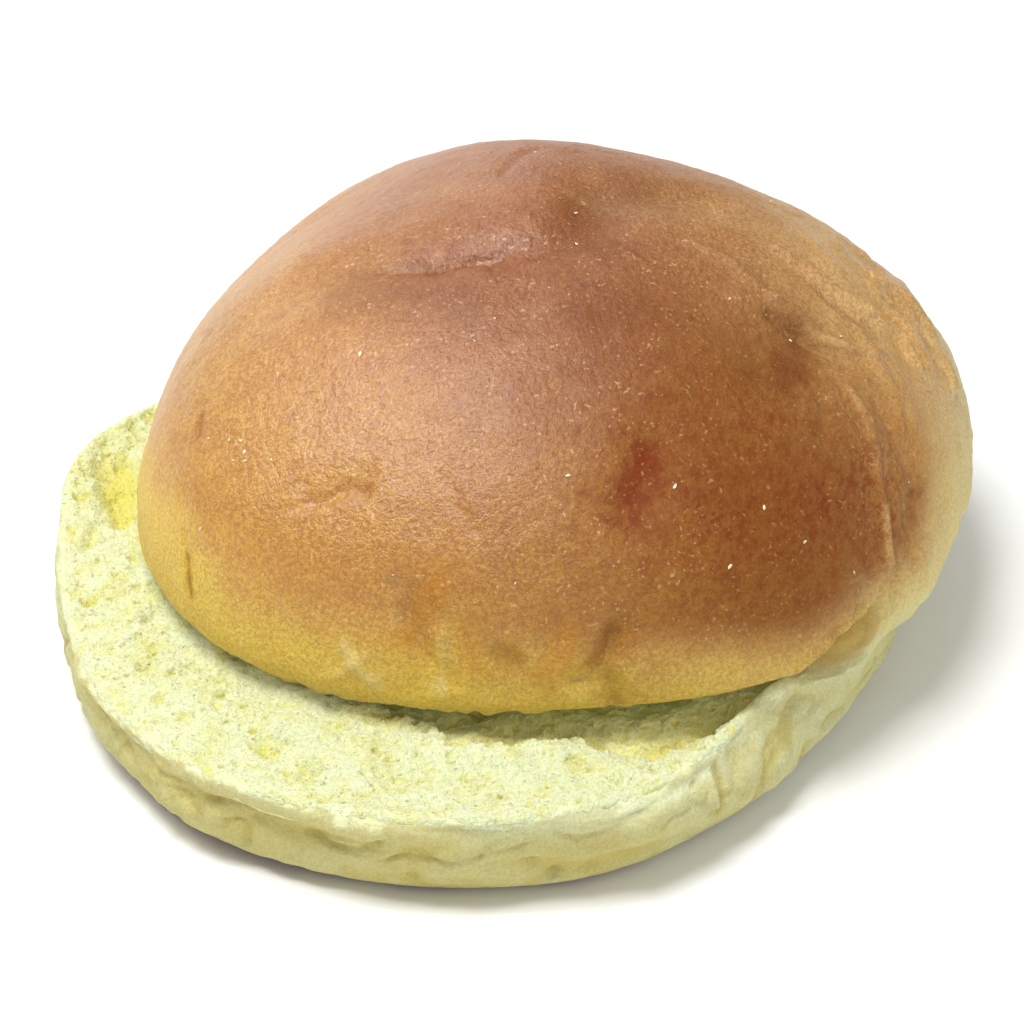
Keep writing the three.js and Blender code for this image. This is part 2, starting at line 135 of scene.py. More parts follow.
# Finer creases that the skin shows on top of those.
FINE_CREASES = [
    ([(-150, 62), (-138, 68), (-128, 72), (-115, 74)], 0.9, 0.55),
    ([(-128, 72), (-118, 73), (-112, 71)], 0.8, 0.5),
    ([(90, 66), (116, 76)], 0.9, 0.35),
    ([(-84, 12), (-84, 10), (-86, 6), (-89, 4)], 0.8, 0.7),
    ([(-89, 4), (-84, 3), (-84, -2)], 0.9, 0.7),
    ([(-98, 8), (-96, 7)], 1.3, 0.5),
    ([(-141, 8), (-140, 4)], 0.5, 0.5),
    ([(-143, 13), (-141, 8)], 0.5, 0.4),
    ([(-152, 29), (-150, 27)], 0.5, 0.4),
    ([(-127, 26), (-124, 28), (-121, 30), (-118, 31)], 0.7, 0.5),
    ([(-111, 17), (-109, 12), (-107, 6)], 1.1, 0.6),
    ([(-106, 16), (-104, 9), (-104, 3)], 1.0, 0.4),
    ([(-115, 14), (-111, 12)], 0.9, 0.35),
    ([(-105, 11), (-105, 6), (-105, 1)], 0.7, -0.4),
    ([(-117, 7), (-116, 4), (-113, 1)], 0.7, -0.4),
    ([(-114, 6), (-116, 3), (-118, 1)], 0.6, -0.3),
    ([(-111, 18), (-111, 12)], 0.8, -0.35),
    ([(-126, 25), (-123, 27), (-120, 29)], 0.8, -0.25),
    ([(-107, 35), (-104, 31), (-102, 28)], 1.0, 0.3),
    ([(-25, 51), (-24, 46), (-23, 42), (-21, 38), (-17, 34)], 0.8, -1.0),
    ([(-30, 50), (-28, 45), (-26, 40), (-23, 35)], 0.8, 0.8),
    ([(-16, 63), (-20, 57), (-25, 51)], 1.2, -0.5),
    ([(-2, 53), (-5, 45), (-8, 38)], 0.8, -0.8),
    ([(-6, 52), (-10, 45), (-13, 38)], 0.9, 0.5),
    ([(-8, 38), (-7, 34), (-6, 31), (-10, 27)], 0.8, -0.9),
    ([(-1, 33), (-4, 30), (-7, 26)], 1.0, 1.2),
    ([(8, 36), (8, 30), (5, 26), (1, 22), (-5, 18)], 0.8, -0.9),
    ([(3, 34), (2, 28), (-3, 22)], 0.7, 0.7),
    ([(-31, 35), (-34, 30), (-38, 25), (-41, 18), (-43, 10)], 0.9, -0.8),
    ([(-28, 30), (-33, 24), (-37, 16), (-38, 9)], 0.8, 0.5),
    ([(-19, 35), (-22, 30), (-28, 25)], 0.9, -0.5),
    ([(-42, 8), (-41, 1), (-40, -6)], 0.7, 0.9),
    ([(-45, 7), (-45, 1), (-44, -7)], 0.7, 0.7),
    ([(-38, 12), (-36, 4), (-35, -4)], 0.8, -0.5),
    ([(-34, 16), (-35, 13)], 0.9, 0.6),
    ([(-49, 5), (-52, 4), (-55, 3)], 0.8, 0.6),
    ([(-68, 16), (-66, 9)], 1.2, 0.35),
    ([(-92, 24), (-90, 16), (-92, 9)], 1.6, 0.3),
    ([(-130, 18), (-127, 10), (-124, 4)], 1.4, 0.3),
]

# Uneven layers: how strong they are, the size of their lumps in millimetres, and a fixed seed.
SKIN_LUMPS = [(0.16, 5.5, 4), (0.07, 2.2, 5)]
HINGE_RIPPLE = [(0.25, 4.2, 21), (0.12, 1.9, 22)]
TORN_LIP = [(0.40, 3.4, 31), (0.42, 1.4, 32), (0.15, 0.8, 33)]
RAGGED_RIM = [(0.20, 1.3, 41), (0.26, 3.6, 42)]
BAKED_WANDER = [(2.6, 14.0, 51), (1.4, 5.0, 52)]
MARK_EDGE = [(0.40, 2.2, 55), (0.45, 0.95, 56)]
HEEL_PATCHES = [(1.0, 6.5, 61), (0.7, 2.4, 62)]
BASE_EDGE = [(0.35, 6.0, 63), (0.2, 1.5, 66)]
TORN_SKIN = [(1.0, 2.2, 67), (0.5, 0.9, 68)]
CRUMB_BORDER = [(0.60, 2.6, 71), (0.45, 1.1, 72), (0.30, 0.55, 75)]
STEP_EDGE = [(1.0, 2.4, 73), (0.7, 1.0, 74)]
AROUND = 57  # the radius that turns an azimuth into millimetres along the rim

# Hollows torn in the cut face: place, half length, half width, depth and azimuth of the length.
CRUMB_HOLLOWS = [
    ((-47.5, 21), 10, 2.4, 3.0, 94),
    ((-24.6, -37), 2.6, 2.0, 1.4, 100),
    ((-9.2, -43), 2.6, 2.0, 1.3, 10),
    ((24, -36.5), 7, 2.4, 1.6, 30),
]
CRUMB_ROUGHNESS = 0.6
CRUMB_LUMP = 4.3
SMALL_HOLLOWS = [
    ((-41, -10.4), 2.0, 1.0, 1.1, 60),
    ((-40.1, -21.4), 1.4, 1.1, 0.9, 20),
    ((-19.1, -42.6), 1.8, 1.2, 0.9, 40),
    ((20.1, -34.7), 2.8, 1.1, 1.0, 10),
    ((29.9, -32.6), 2.2, 1.2, 0.9, 35),
    ((15.2, -36.7), 1.6, 1.2, 0.8, 80),
    ((-30.5, -27), 1.6, 1.0, 0.8, 150),
    ((-44, 3), 2.4, 0.9, 0.8, 80),
    ((-50.4, 9), 4.2, 1.1, 1.3, 86),
    ((-50.6, 25), 9.0, 1.3, 1.2, 96),
    ((-46.8, 36), 5.0, 1.5, 1.2, 118),
]

# Folds of the heel's side: azimuths of the ends, height, half width and depth.
HEEL_FOLDS = [
    (-150, -98, 8.6, 1.4, 0.7),
    (-125, -70, 4.6, 1.3, 0.6),
    (-74, -58, 8.6, 3.4, -0.9),
]
HEEL_PUCKERS = [(9, 0.3, 28.6, 0), (14, 0.3, 0, 57)]  # count, depth, lean and start
HEEL_DEGREE = 0.97  # millimetres round the heel's side for one degree
FLAP_FROM, FLAP_TO = -75, -57.9  # a torn tongue of skin in front, as azimuths about the heel's middle
FLAP_HEIGHT = 0.8
# Finer creases of the heel's side as [azimuth, height], width and depth.
HEEL_CREASES = [
    ([(-150, 11.4), (-142, 10.2), (-132, 9.6), (-120, 9.4), (-108, 9.9)], 0.5, 0.5),
    ([(-131, 8.0), (-120, 6.6), (-104, 6.2), (-92, 6.8)], 0.5, 0.4),
    ([(-110, 8.2), (-100, 7.4), (-90, 7.9), (-84, 9.2)], 0.5, 0.45),
    ([(-100, 4.6), (-88, 3.8), (-76, 4.4)], 0.5, 0.35),
    ([(-78, 6.2), (-70, 5.4), (-62, 6.0), (-56, 8.4)], 0.45, 0.55),
    ([(-88, 9.8), (-89, 8.0), (-87, 6.4)], 0.5, 0.4),
    ([(-101, 10.4), (-103, 8.8), (-107, 7.9)], 0.45, 0.45),
    ([(-119, 10.6), (-124, 9.0)], 0.45, 0.4),
    ([(-140, 8.6), (-143, 5.6)], 0.5, 0.5),
    ([(-163, 10.5), (-168, 7.0), (-176, 5.0)], 0.6, 0.4),
    ([(-57.4, 12.4), (-57.2, 10), (-57.8, 6.0)], 0.5, 0.9),
    ([(-63, 11.0), (-60, 9.0), (-59, 6.6)], 0.5, 0.5),
]

# How finely the skin is divided.
COLUMNS = 640
FINE_FROM, FINE_TO = -206, 35  # azimuths between which the columns lie closest
COARSE_SHARE = 0.4
BASE_RINGS = (0.3, 0.6, 0.82, 0.95, 1.0)
EDGE_ROWS = 8
SIDE_ROWS = 14
RIM_ROWS = 4
FLOOR_SHARES = (0.04, 0.09, 0.15, 0.24, 0.36, 0.5, 0.66, 0.83, 1.0)
RIM_HINGE_SHARE = 0.08  # shares of the way up the hinge at the end of the rim, the floor and the roof
FLOOR_HINGE_SHARE = 0.5
ROOF_HINGE_SHARES = (0.55, 0.93)
ROOF_ROWS = 5
LIP_ROWS = 4
DOME_ROWS = 132

# Colours, as linear red, green and blue.
GOLD = (0.62, 0.430, 0.060)
ORANGE = (0.53, 0.245, 0.012)
TAN = (0.48, 0.208, 0.024)
ROSE = (0.34, 0.124, 0.030)
BEIGE = (0.66, 0.44, 0.17)
DEEP_BROWN = (0.175, 0.046, 0.002)
RED_BROWN = (0.17, 0.018, 0.001)
PURPLE = (0.15, 0.045, 0.014)
PALE_SKIN = (0.67, 0.56, 0.24)
HEEL_SKIN = (0.59, 0.58, 0.30)
HEEL_TAN = (0.54, 0.45, 0.13)
# The tan of the skin tucked under the crown's lip, partly painted shade.
HINGE_TAN_AND_SHADE = (0.40, 0.27, 0.070)
BASE_BROWN = (0.16, 0.050, 0.015)
CRUMB_PALE = (0.82, 0.87, 0.56)
# CRUMB_YELLOW is the crumb's yellower tone, and also the painted shade in its pores and low places.
CRUMB_YELLOW = (0.75, 0.71, 0.20)
# The yellow of the painted shade in the torn hollows.
CRUMB_HOLLOW_SHADE = (0.80, 0.72, 0.14)
# The two colours below are the painted shade on the crumb beneath the crown, the second in its pores.
CRUMB_SHADE = (1.00, 0.91, 0.31)
CRUMB_SHADE_IN_PORES = (1.00, 0.86, 0.25)


# Small sums that every shape uses.
def ease(low, high, value):
    share = np.clip((value - low) / (high - low), 0, 1)
    return share * share * (3 - 2 * share)


def fade(low, high, value):
    return 1 - ease(low, high, value)


def turn(start, end):
    return (end - start + 540) % 360 - 180


def bell(distance, width):
    return np.exp(-((distance / width) ** 2))


def mix(a, b, share):
    return a + (b - a) * share


def blend(a, b, share):
    """Mixes points or colours row by row."""
    a, b = np.asarray(a), np.asarray(b)
    return a + (b - a) * np.asarray(share)[..., None]


def corner_value(cell, seed):
    """A fixed random value from -1 to 1 for each corner of a net of cubes."""
    mixed = (cell[..., 0] * 73856093) ^ (cell[..., 1] * 19349663) ^ (cell[..., 2] * 83492791) ^ (seed * 7919)
    mixed = ((mixed ^ (mixed >> 13)) * 1274126177) & 0x7FFFFFFF
    mixed = ((mixed ^ (mixed >> 15)) * 40503) & 0x7FFFFFFF
    return ((mixed >> 7) & 0xFFFF) / 32767.5 - 1


def noise(points, size, seed=0):
    """Smooth random lumps of a size in millimetres, from -1 to 1."""
    net = points / size
    cell = np.floor(net).astype(np.int64)
    near = net - cell
    near = near * near * (3 - 2 * near)
    total = np.zeros(points.shape[:-1])
    for corner in np.ndindex(2, 2, 2):
        weight = np.prod(np.where(corner, near, 1 - near), axis=-1)
        total += weight * corner_value(cell + np.array(corner), seed)
    return total


def layers(points, lumps):
    """Lumps of several sizes together."""
    return sum(height * noise(points, size, seed) for height, size, seed in lumps)


def chain_distance(points, chain):
    """Distance from each point to a chain of straight pieces."""
    nearest = np.full(points.shape[:-1], np.inf)
    for start, end in zip(chain[:-1], chain[1:]):
        along = end - start
        share = np.clip((points - start) @ along / max(along @ along, 1e-9), 0, 1)
        nearest = np.minimum(nearest, np.linalg.norm(points - start - share[..., None] * along, axis=-1))
    return nearest


# The roll's form, from the same sizes as its source.
def lobed_radius(shape, azimuth):
    share = 1
    for count, amount, at in shape["lobes"]:
        share = share + amount * np.cos(count * (azimuth - at) * DEGREE)
    return shape["radius"] * share


def around(centre, radius, azimuth, height):
    angle = azimuth * DEGREE
    x = centre[..., 0] + radius * np.cos(angle)
    y = centre[..., 1] + radius * np.sin(angle)
    return np.stack(np.broadcast_arrays(x, y, height), axis=-1)


def azimuth_about(centre, points):
    return np.arctan2(points[..., 1] - centre[1], points[..., 0] - centre[0]) / DEGREE


def axis_azimuth(points):
    return azimuth_about(AXIS, points)


def axis_distance(points):
    return np.hypot(points[..., 0] - AXIS[0], points[..., 1] - AXIS[1])


def own_azimuth(shape, azimuth, inset):
    own = np.array(azimuth, float)
    for _ in range(8):
        ring = around(shape["centre"], lobed_radius(shape, own) - inset, own, 0.0)
        own = own + turn(axis_azimuth(ring), azimuth)
    return own


def into_hinge(azimuth):
    middle = (HINGE_FROM + HINGE_TO) / 2
    return (HINGE_TO - HINGE_FROM) / 2 - np.abs(turn(middle, azimuth))


def joined(azimuth):
    return ease(0, HINGE_BLEND, into_hinge(azimuth))


def hinge_share(azimuth):
    return mix(HINGE_END_SHARE, HINGE_MIDDLE_SHARE, ease(0, HINGE_TAPER, into_hinge(azimuth)))


def cut_height(x, y):
    dx = x - HEEL["centre"][0]
    dy = y - HEEL["centre"][1]
    to_dip = dx * math.cos(CUT_DIP_AZIMUTH * DEGREE) + dy * math.sin(CUT_DIP_AZIMUTH * DEGREE)
    return CUT_HEIGHT - CUT_DIP * to_dip / HEEL["radius"]


def slot_gap(x, y):
    dx = x - CROWN["centre"][0]
    dy = y - CROWN["centre"][1]
    reach = np.hypot(dx, dy) / CROWN["radius"]
    azimuth = np.arctan2(dy, dx) / DEGREE
    return GAP + FRONT_GAP * bell(turn(FRONT_AZIMUTH, azimuth), FRONT_SPREAD) * ease(0.2, 0.9, reach)


def smooth_dome(azimuth, latitude):
    azimuth, latitude = np.broadcast_arrays(np.asarray(azimuth, float), np.asarray(latitude, float))
    radius = lobed_radius(CROWN, azimuth)
    foot = around(CROWN["centre"], radius, azimuth, 0.0)
    lip = cut_height(foot[..., 0], foot[..., 1]) + slot_gap(foot[..., 0], foot[..., 1])
    down = np.clip(-latitude / FOOT_LATITUDE, 0, 1)
    low = around(CROWN["centre"], radius - CURL_UNDER * down**2, azimuth, mix(WAIST_HEIGHT, lip, down))
    rise = np.sin(np.maximum(latitude, 0) * DEGREE) ** FULLNESS
    centre = CROWN["centre"] + (APEX - CROWN["centre"]) * (rise**1.5)[..., None]
    ring = radius * np.maximum(np.cos(latitude * DEGREE), 0) ** ROUNDNESS
    high = around(centre, ring, azimuth, mix(WAIST_HEIGHT, CROWN_TOP, rise))
    return np.where((latitude < 0)[..., None], low, high)


def dome_chain(ends):
    return smooth_dome([a for a, _ in ends], [b for _, b in ends])


def crown_relief(points):
    relief = np.zeros(points.shape[:-1])
    for height, lengths, start in CROWN_SWELLS:
        relief += height * np.sin((360 * (points / lengths).sum(axis=-1) + start) * DEGREE)
    for ends, width, depth in CROWN_CREASES:
        relief = relief - depth * bell(chain_distance(points, dome_chain(ends)), width)
    return relief


def fine_relief(points):
    """Thin creases, soft puckers, and the crumpled skin of the right side."""
    wander = np.stack([noise(points, 3.1, seed) for seed in (1, 2, 3)], axis=-1) * 0.55
    relief = np.zeros(points.shape[:-1])
    for ends, width, depth in FINE_CREASES:
        relief -= depth * bell(chain_distance(points + wander, dome_chain(ends)), width)
    relief += layers(points, SKIN_LUMPS)
    crumpled = ease(34, 52, points[..., 0]) * ease(-18, -4, -np.abs(points[..., 1] - 2) + 26)
    slant = points * np.array([1.0, 0.45, 0.30]) + wander
    relief += crumpled * (0.40 * (1 - 2 * np.abs(noise(slant, 4.6, 6))) + 0.20 * noise(slant, 2.2, 7))
    return relief - 0.45 * crumpled * bell(noise(slant, 6.5, 8), 0.12)


def crown_point(azimuth, latitude):
    points = smooth_dome(azimuth, latitude)
    core = np.array([APEX[0], APEX[1], WAIST_HEIGHT])
    outward = points - core
    outward /= np.maximum(np.linalg.norm(outward, axis=-1, keepdims=True), 1e-9)
    latitude = np.broadcast_to(latitude, points.shape[:-1])
    relief = crown_relief(points) * ease(-FOOT_LATITUDE, 2, latitude)
    relief = relief + fine_relief(points) * ease(-FOOT_LATITUDE - 2, -3, latitude)
    return points + outward * relief[..., None]


def heel_relief(azimuth, height):
    relief = 0
    for count, depth, lean, start in HEEL_PUCKERS:
        relief = relief + depth * np.sin((count * azimuth + lean * height + start) * DEGREE)
    for start, end, at, width, depth in HEEL_FOLDS:
        half = (end - start) / 2
        along = 1 - ease(half - 6, half + 6, np.abs(turn((start + end) / 2, azimuth)))
        relief = relief - depth * along * bell(height - at, width)
    return relief


def heel_fine_relief(azimuth, height):
    """Thin creases and puckers of the heel's pale side."""
    flat = np.stack(np.broadcast_arrays(turn(-90, azimuth) * HEEL_DEGREE, height, 0.0), axis=-1)
    wander = 0.7 * noise(flat, 4.0, 11)[..., None] * np.array([0, 1, 0])
    long_waves = flat * np.array([0.45, 1.0, 1.0])
    relief = 0.34 * noise(long_waves, 3.0, 12) + 0.16 * noise(flat, 1.7, 13)
    relief += 0.30 * (0.5 - np.abs(noise(long_waves + wander, 4.2, 14)))
    creased = ease(-0.5, 0.2, noise(flat, 9.0, 15))
    relief -= 0.85 * creased * bell(noise(long_waves + wander, 5.0, 16), 0.13)
    relief -= 0.45 * bell(noise(long_waves + wander, 2.8, 17), 0.15)
    flap = ease(FLAP_FROM, FLAP_FROM + 5, azimuth) * fade(FLAP_TO - 0.8, FLAP_TO, azimuth)
    relief += FLAP_HEIGHT * flap * ease(5.5, 9.0, height) * fade(11.4, 12.4, height)
    for ends, width, depth in HEEL_CREASES:
        chain = np.array([(turn(-90, a) * HEEL_DEGREE, h, 0.0) for a, h in ends])
        relief -= depth * bell(chain_distance(flat + wander, chain), width)
    return relief


def undercut(azimuth):
    return UNDERCUT + HINGE_UNDERCUT * bell(turn(0, azimuth), HINGE_UNDERCUT_SPREAD)


def rim_curl(azimuth):
    return sum(inward * bell(turn(at, azimuth), spread) for at, spread, inward in RIM_CURLS)


def heel_side(azimuth, share):
    """Share 0 to 1 goes round the lower edge, and 1 to 2 up to the rim."""
    azimuth, share = np.broadcast_arrays(azimuth, np.asarray(share, float))
    radius = lobed_radius(HEEL, azimuth)
    angle = np.clip(share, 0, 1) * math.pi / 2
    low_height = SHOULDER * (1 - np.cos(angle))
    rim = around(HEEL["centre"], radius, azimuth, 0.0)
    top = cut_height(rim[..., 0], rim[..., 1]) - RIM_ROUND
    up = np.maximum(share - 1, 0)
    height = np.where(share <= 1, low_height, mix(SHOULDER, top, up))
    relief = heel_relief(azimuth, height) * ease(0.1, 1, share)
    relief = relief + heel_fine_relief(azimuth, height) * ease(0.25, 0.8, share) * fade(1.8, 2, share)
    inset = undercut(azimuth) * (1 - np.sin(angle)) + rim_curl(azimuth) * up**2
    return around(HEEL["centre"], radius - inset + relief, azimuth, height)


def hinge_point(azimuth, heel_azimuth, crown_azimuth, share):
    low = heel_side(heel_azimuth, hinge_share(azimuth))
    high = crown_point(crown_azimuth, -FOOT_LATITUDE / 2)
    outward = (high - low) * np.array([HINGE_OUTWARD, HINGE_OUTWARD, 0])
    hang_share = mix(HINGE_END_HANG, HINGE_MIDDLE_HANG, ease(0, HINGE_TAPER, into_hinge(azimuth)))
    hang = np.zeros_like(low)
    hang[..., 2] = (low[..., 2] - high[..., 2]) * hang_share
    share = np.broadcast_to(share, azimuth.shape)[..., None]
    skin = (
        low * (1 - share) ** 3
        + (low + outward) * 3 * share * (1 - share) ** 2
        + (high + hang) * 3 * share**2 * (1 - share)
        + high * share**3
    )
    depth = FOLD_DEPTH * bell(turn(HINGE_FROM, azimuth), FOLD_SPREAD)
    across = (share[..., 0] - FOLD_AT) * np.linalg.norm(high - low, axis=-1)
    crease = 0.6 * depth * bell(across, FOLD_WIDTH)
    for at, spread, place, width, deep in HINGE_CREASES:
        length = (share[..., 0] - place) * np.linalg.norm(high - low, axis=-1)
        crease = crease + deep * bell(turn(at, azimuth), spread) * bell(length, width)
    crease = crease - layers(skin, HINGE_RIPPLE) * 4 * share[..., 0] * (1 - share[..., 0])
    return skin - around(np.zeros(2), crease, azimuth, 0.0)


def lip_tuck(points):
    """How far the skin is tucked in below the crown's lip by the hinge, and where it is painted tan, partly
    its own colour and partly painted shade under the lip.
    """
    azimuth = axis_azimuth(points)
    lip, foot, depth = (np.interp(azimuth, LIP_TUCK[0], values, 0, 0) for values in LIP_TUCK[1:])
    down = (lip - points[..., 2]) / np.maximum(lip - foot, 0.1)
    raised = 0.22 * bell(lip + 0.5 - points[..., 2], 0.5) + 0.20 * bell(points[..., 2] - foot + 0.4, 0.7)
    inward = depth * (ease(0, 0.08, down) * np.clip(1 - down, 0, 1) ** 0.8 - raised)
    return inward, ease(0.1, 1.0, depth) * ease(0, 0.06, down) * fade(0.82, 1.0, down)


def tucked(points):
    return points - around(np.zeros(2), lip_tuck(points)[0], axis_azimuth(points), 0.0)


def crumb_value(column, row):
    wave = np.sin(column * 12.9898 + row * 78.233) * 437.5853
    return 2 * (wave - np.floor(wave)) - 1


def crumb_lumps(x, y, size):
    column, row = np.floor(x / size), np.floor(y / size)
    across, along = ease(0, 1, x / size - column), ease(0, 1, y / size - row)
    near = mix(crumb_value(column, row), crumb_value(column + 1, row), across)
    far = mix(crumb_value(column, row + 1), crumb_value(column + 1, row + 1), across)
    return mix(near, far, along)


def hollow_depth(x, y, hollows):
    depth = 0
    for (at_x, at_y), length, width, deepest, azimuth in hollows:
        angle = azimuth * DEGREE
        dx, dy = x - at_x, y - at_y
        along = (dx * math.cos(angle) + dy * math.sin(angle)) / length
        across = (dy * math.cos(angle) - dx * math.sin(angle)) / width
        depth = depth + deepest * np.exp(-(along**4) - across**2)
    return depth


def crumb_relief(x, y):
    relief = CRUMB_ROUGHNESS * (crumb_lumps(x, y, CRUMB_LUMP) + 0.5 * crumb_lumps(y, -x, CRUMB_LUMP / 2))
    return relief - hollow_depth(x, y, CRUMB_HOLLOWS)


# The cut face between the heel's rim and the crown's foot, on one azimuth about the axis.
def rim_reach(azimuth):
    heel_azimuth = own_azimuth(HEEL, azimuth, RIM_ROUND)
    radius = lobed_radius(HEEL, heel_azimuth) - RIM_ROUND - rim_curl(heel_azimuth)
    return axis_distance(around(HEEL["centre"], radius, heel_azimuth, 0.0))


def foot_reach(azimuth):
    return axis_distance(smooth_dome(own_azimuth(CROWN, azimuth, CURL_UNDER), -FOOT_LATITUDE))


CRUMB_FROM, CRUMB_TO = -232, -46  # azimuths about the axis between which the crumb lies open
CRUMB_END = 7
CRUMB_UNDER = 6.0  # how far it runs on beneath the crown
CRUMB_THICK = 1.6
CRUMB_BOTTOM = 5.5
CRUMB_OVER = 2.8  # how far it runs on over the heel's rounded rim
CRUMB_COLUMNS = 840
CRUMB_ROWS = 110
# The step down towards the crown in front: azimuths about the axis, distances from the crown's foot, drops.
CRUMB_STEP = (
    (-128, -112, -109, -103, -96, -93, -87, -81.5, -79, -75, -73, -66.7, -63.3, -54, -46),
    (-2.0, -2.0, -1.5, 0.0, 3.5, 4.0, 2.4, 1.2, 3.6, 6.6, 6.6, 4.6, 3.1, 1.3, 0.5),
    (0.0, 0.3, 0.6, 1.0, 1.2, 1.3, 1.2, 1.2, 1.3, 1.4, 1.4, 1.3, 1.2, 0.8, 0.0),
)


FROM_FOOT, DROP = 1, 2  # the rows of CRUMB_STEP


def wrapped(azimuth):
    """The azimuth between -260 and 100, so that the open crumb is one run."""
    return (azimuth + 260) % 360 - 260


def crumb_step(azimuth, row):
    return np.interp(wrapped(azimuth), CRUMB_STEP[0], CRUMB_STEP[row])


def crumb_cover(azimuth):
    """1 where the cut face is finished by the piece of open crumb, 0 where it isn't."""
    middle = (CRUMB_FROM + CRUMB_TO) / 2
    inside = (CRUMB_TO - CRUMB_FROM) / 2 - np.abs(turn(middle, azimuth))
    return ease(0, CRUMB_END, inside)


def floor_point(azimuth, reach):
    """A point of the cut face that the skin runs into, sunk where the open crumb lies on it."""
    plan = around(AXIS, reach, azimuth, 0.0)
    x, y = plan[..., 0], plan[..., 1]
    outer = rim_reach(azimuth)
    inner = np.minimum(outer, foot_reach(azimuth))
    from_rim = outer - reach
    relief = crumb_relief(x, y) * ease(0.3, 2.5, from_rim) * ease(-2, 2, reach - inner)
    sunk = crumb_cover(azimuth) * ease(0.4, 1.6, from_rim)
    sunk = sunk * ease(-CRUMB_UNDER - 1.5, -CRUMB_UNDER, reach - inner)
    wider = [(at, 1.3 * length, 2.2 * width, *rest) for at, length, width, *rest in CRUMB_HOLLOWS]
    depth = CRUMB_THICK + 0.2 + crumb_step(azimuth, DROP) + hollow_depth(x, y, wider)
    plan[..., 2] = cut_height(x, y) + relief - sunk * depth
    return plan


LIP_TAGS = [  # azimuth, width and how far each tag hangs down, less than 0 for a notch
    (-96.5, 0.8, -0.5), (-89.5, 0.7, -0.6), (-84.5, 0.5, -0.5), (-82.0, 0.9, 0.5),
    (-124.0, 1.0, -0.8), (-121.0, 1.0, 0.5), (-138.0, 0.9, 0.5), (-56.0, 1.2, -0.4),
]


def ragged_lip(azimuth):
    """How far the torn lower rim of the crown hangs down or is notched, in millimetres."""
    torn = layers(around(np.zeros(2), AROUND, azimuth, 0.0), TORN_LIP)
    for at, width, drop in LIP_TAGS:
        torn = torn + drop * bell(turn(at, azimuth), width)
    return torn


def skin_columns():
    azimuths = np.linspace(-206, 154, 4001)
    spread = ease(FINE_FROM - 8, FINE_FROM, azimuths) * fade(FINE_TO, FINE_TO + 8, azimuths)
    weight = COARSE_SHARE + (1 - COARSE_SHARE) * spread
    total = np.concatenate([[0], np.cumsum((weight[1:] + weight[:-1]) / 2)])
    return np.interp(np.arange(COLUMNS) / COLUMNS * total[-1], total, azimuths)


def dome_latitudes():
    """Latitudes of rows that lie evenly over the front of the dome."""
    tries = np.linspace(-FOOT_LATITUDE * 0.7, 90, 2000)
    path = smooth_dome(-100.0, tries)
    steps = np.linalg.norm(np.diff(path, axis=0), axis=1)
    length = np.concatenate([[0], np.cumsum(steps)])
    return np.interp(np.linspace(0, length[-1], DOME_ROWS + 1)[1:-1], length, tries)


def skin_rings():
    """The rings of the skin from the base to the top, each with the name of its zone."""
    axis = skin_columns()
    heel = own_azimuth(HEEL, axis, RIM_ROUND)
    crown = own_azimuth(CROWN, axis, CURL_UNDER)
    held = joined(axis)
    rings = []
    for share in BASE_RINGS:
        radius = (lobed_radius(HEEL, heel) - undercut(heel)) * share
        rings.append(("base", around(HEEL["centre"], radius, heel, 0.0)))
    for row in range(1, EDGE_ROWS + 1):
        rings.append(("side", heel_side(heel, row / EDGE_ROWS)))
    for row in range(1, SIDE_ROWS + 1):
        rings.append(("side", heel_side(heel, 1 + row / SIDE_ROWS * mix(1, hinge_share(axis) - 1, held))))

    curl = rim_curl(heel)
    radius = lobed_radius(HEEL, heel) - curl
    outer = rim_reach(axis)
    inner = np.minimum(outer, foot_reach(axis))
    edge = around(HEEL["centre"], radius, heel, 0.0)
    top = cut_height(edge[:, 0], edge[:, 1])
    rag = layers(edge, RAGGED_RIM)
    for row in range(1, RIM_ROWS + 1):
        angle = row / RIM_ROWS * math.pi / 2
        open_rim = around(
            HEEL["centre"],
            radius - RIM_ROUND * (1 - math.cos(angle)),
            heel,
            top - RIM_ROUND * (1 - math.sin(angle)) + rag * math.sin(angle),
        )
        skin = hinge_point(axis, heel, crown, RIM_HINGE_SHARE * row / RIM_ROWS)
        rings.append(("rim", blend(open_rim, skin, held)))
    deep = inner - SLOT_DEPTH * (1 - held)
    for row, share in enumerate(FLOOR_SHARES, 1):
        open_floor = floor_point(axis, mix(outer, deep, share))
        open_floor[:, 2] += rag * fade(0, 0.15, share)
        up = mix(RIM_HINGE_SHARE, FLOOR_HINGE_SHARE, row / len(FLOOR_SHARES))
        skin = hinge_point(axis, heel, crown, up)
        rings.append(("floor", blend(open_floor, skin, held)))
    foot = smooth_dome(crown, -FOOT_LATITUDE)
    foot_at = axis_distance(foot)
    torn = ragged_lip(crown)
    for row in range(ROOF_ROWS):
        reach = mix(deep, foot_at - LIP_ROUND * 1.6, row / (ROOF_ROWS - 1))
        roof = around(AXIS, reach, axis, 0.0)
        roof[:, 2] = cut_height(roof[:, 0], roof[:, 1]) + slot_gap(roof[:, 0], roof[:, 1])
        skin = hinge_point(axis, heel, crown, mix(*ROOF_HINGE_SHARES, row / (ROOF_ROWS - 1)))
        rings.append(("roof", blend(roof, skin, held)))
    for row in range(LIP_ROWS):
        angle = row / (LIP_ROWS - 1) * math.pi / 2
        inward = around(np.zeros(2), LIP_ROUND * (1 - math.sin(angle)), axis, 0.0)
        lip = foot - inward
        lip[:, 2] += LIP_ROUND * (1 - math.cos(angle)) - 0.25 - torn * (0.6 + 0.4 * math.cos(angle))
        skin = hinge_point(axis, heel, crown, mix(0.95, 1.0, row / (LIP_ROWS - 1)))
        rings.append(("lip", blend(lip, skin, held)))
    for latitude in dome_latitudes():
        row_latitude = mix(latitude, np.maximum(latitude, latitude * 0.4 - 1.6), held)
        rings.append(("dome", crown_point(crown, row_latitude)))
    return [(zone, ring if zone in ("base", "side") else tucked(ring)) for zone, ring in rings]


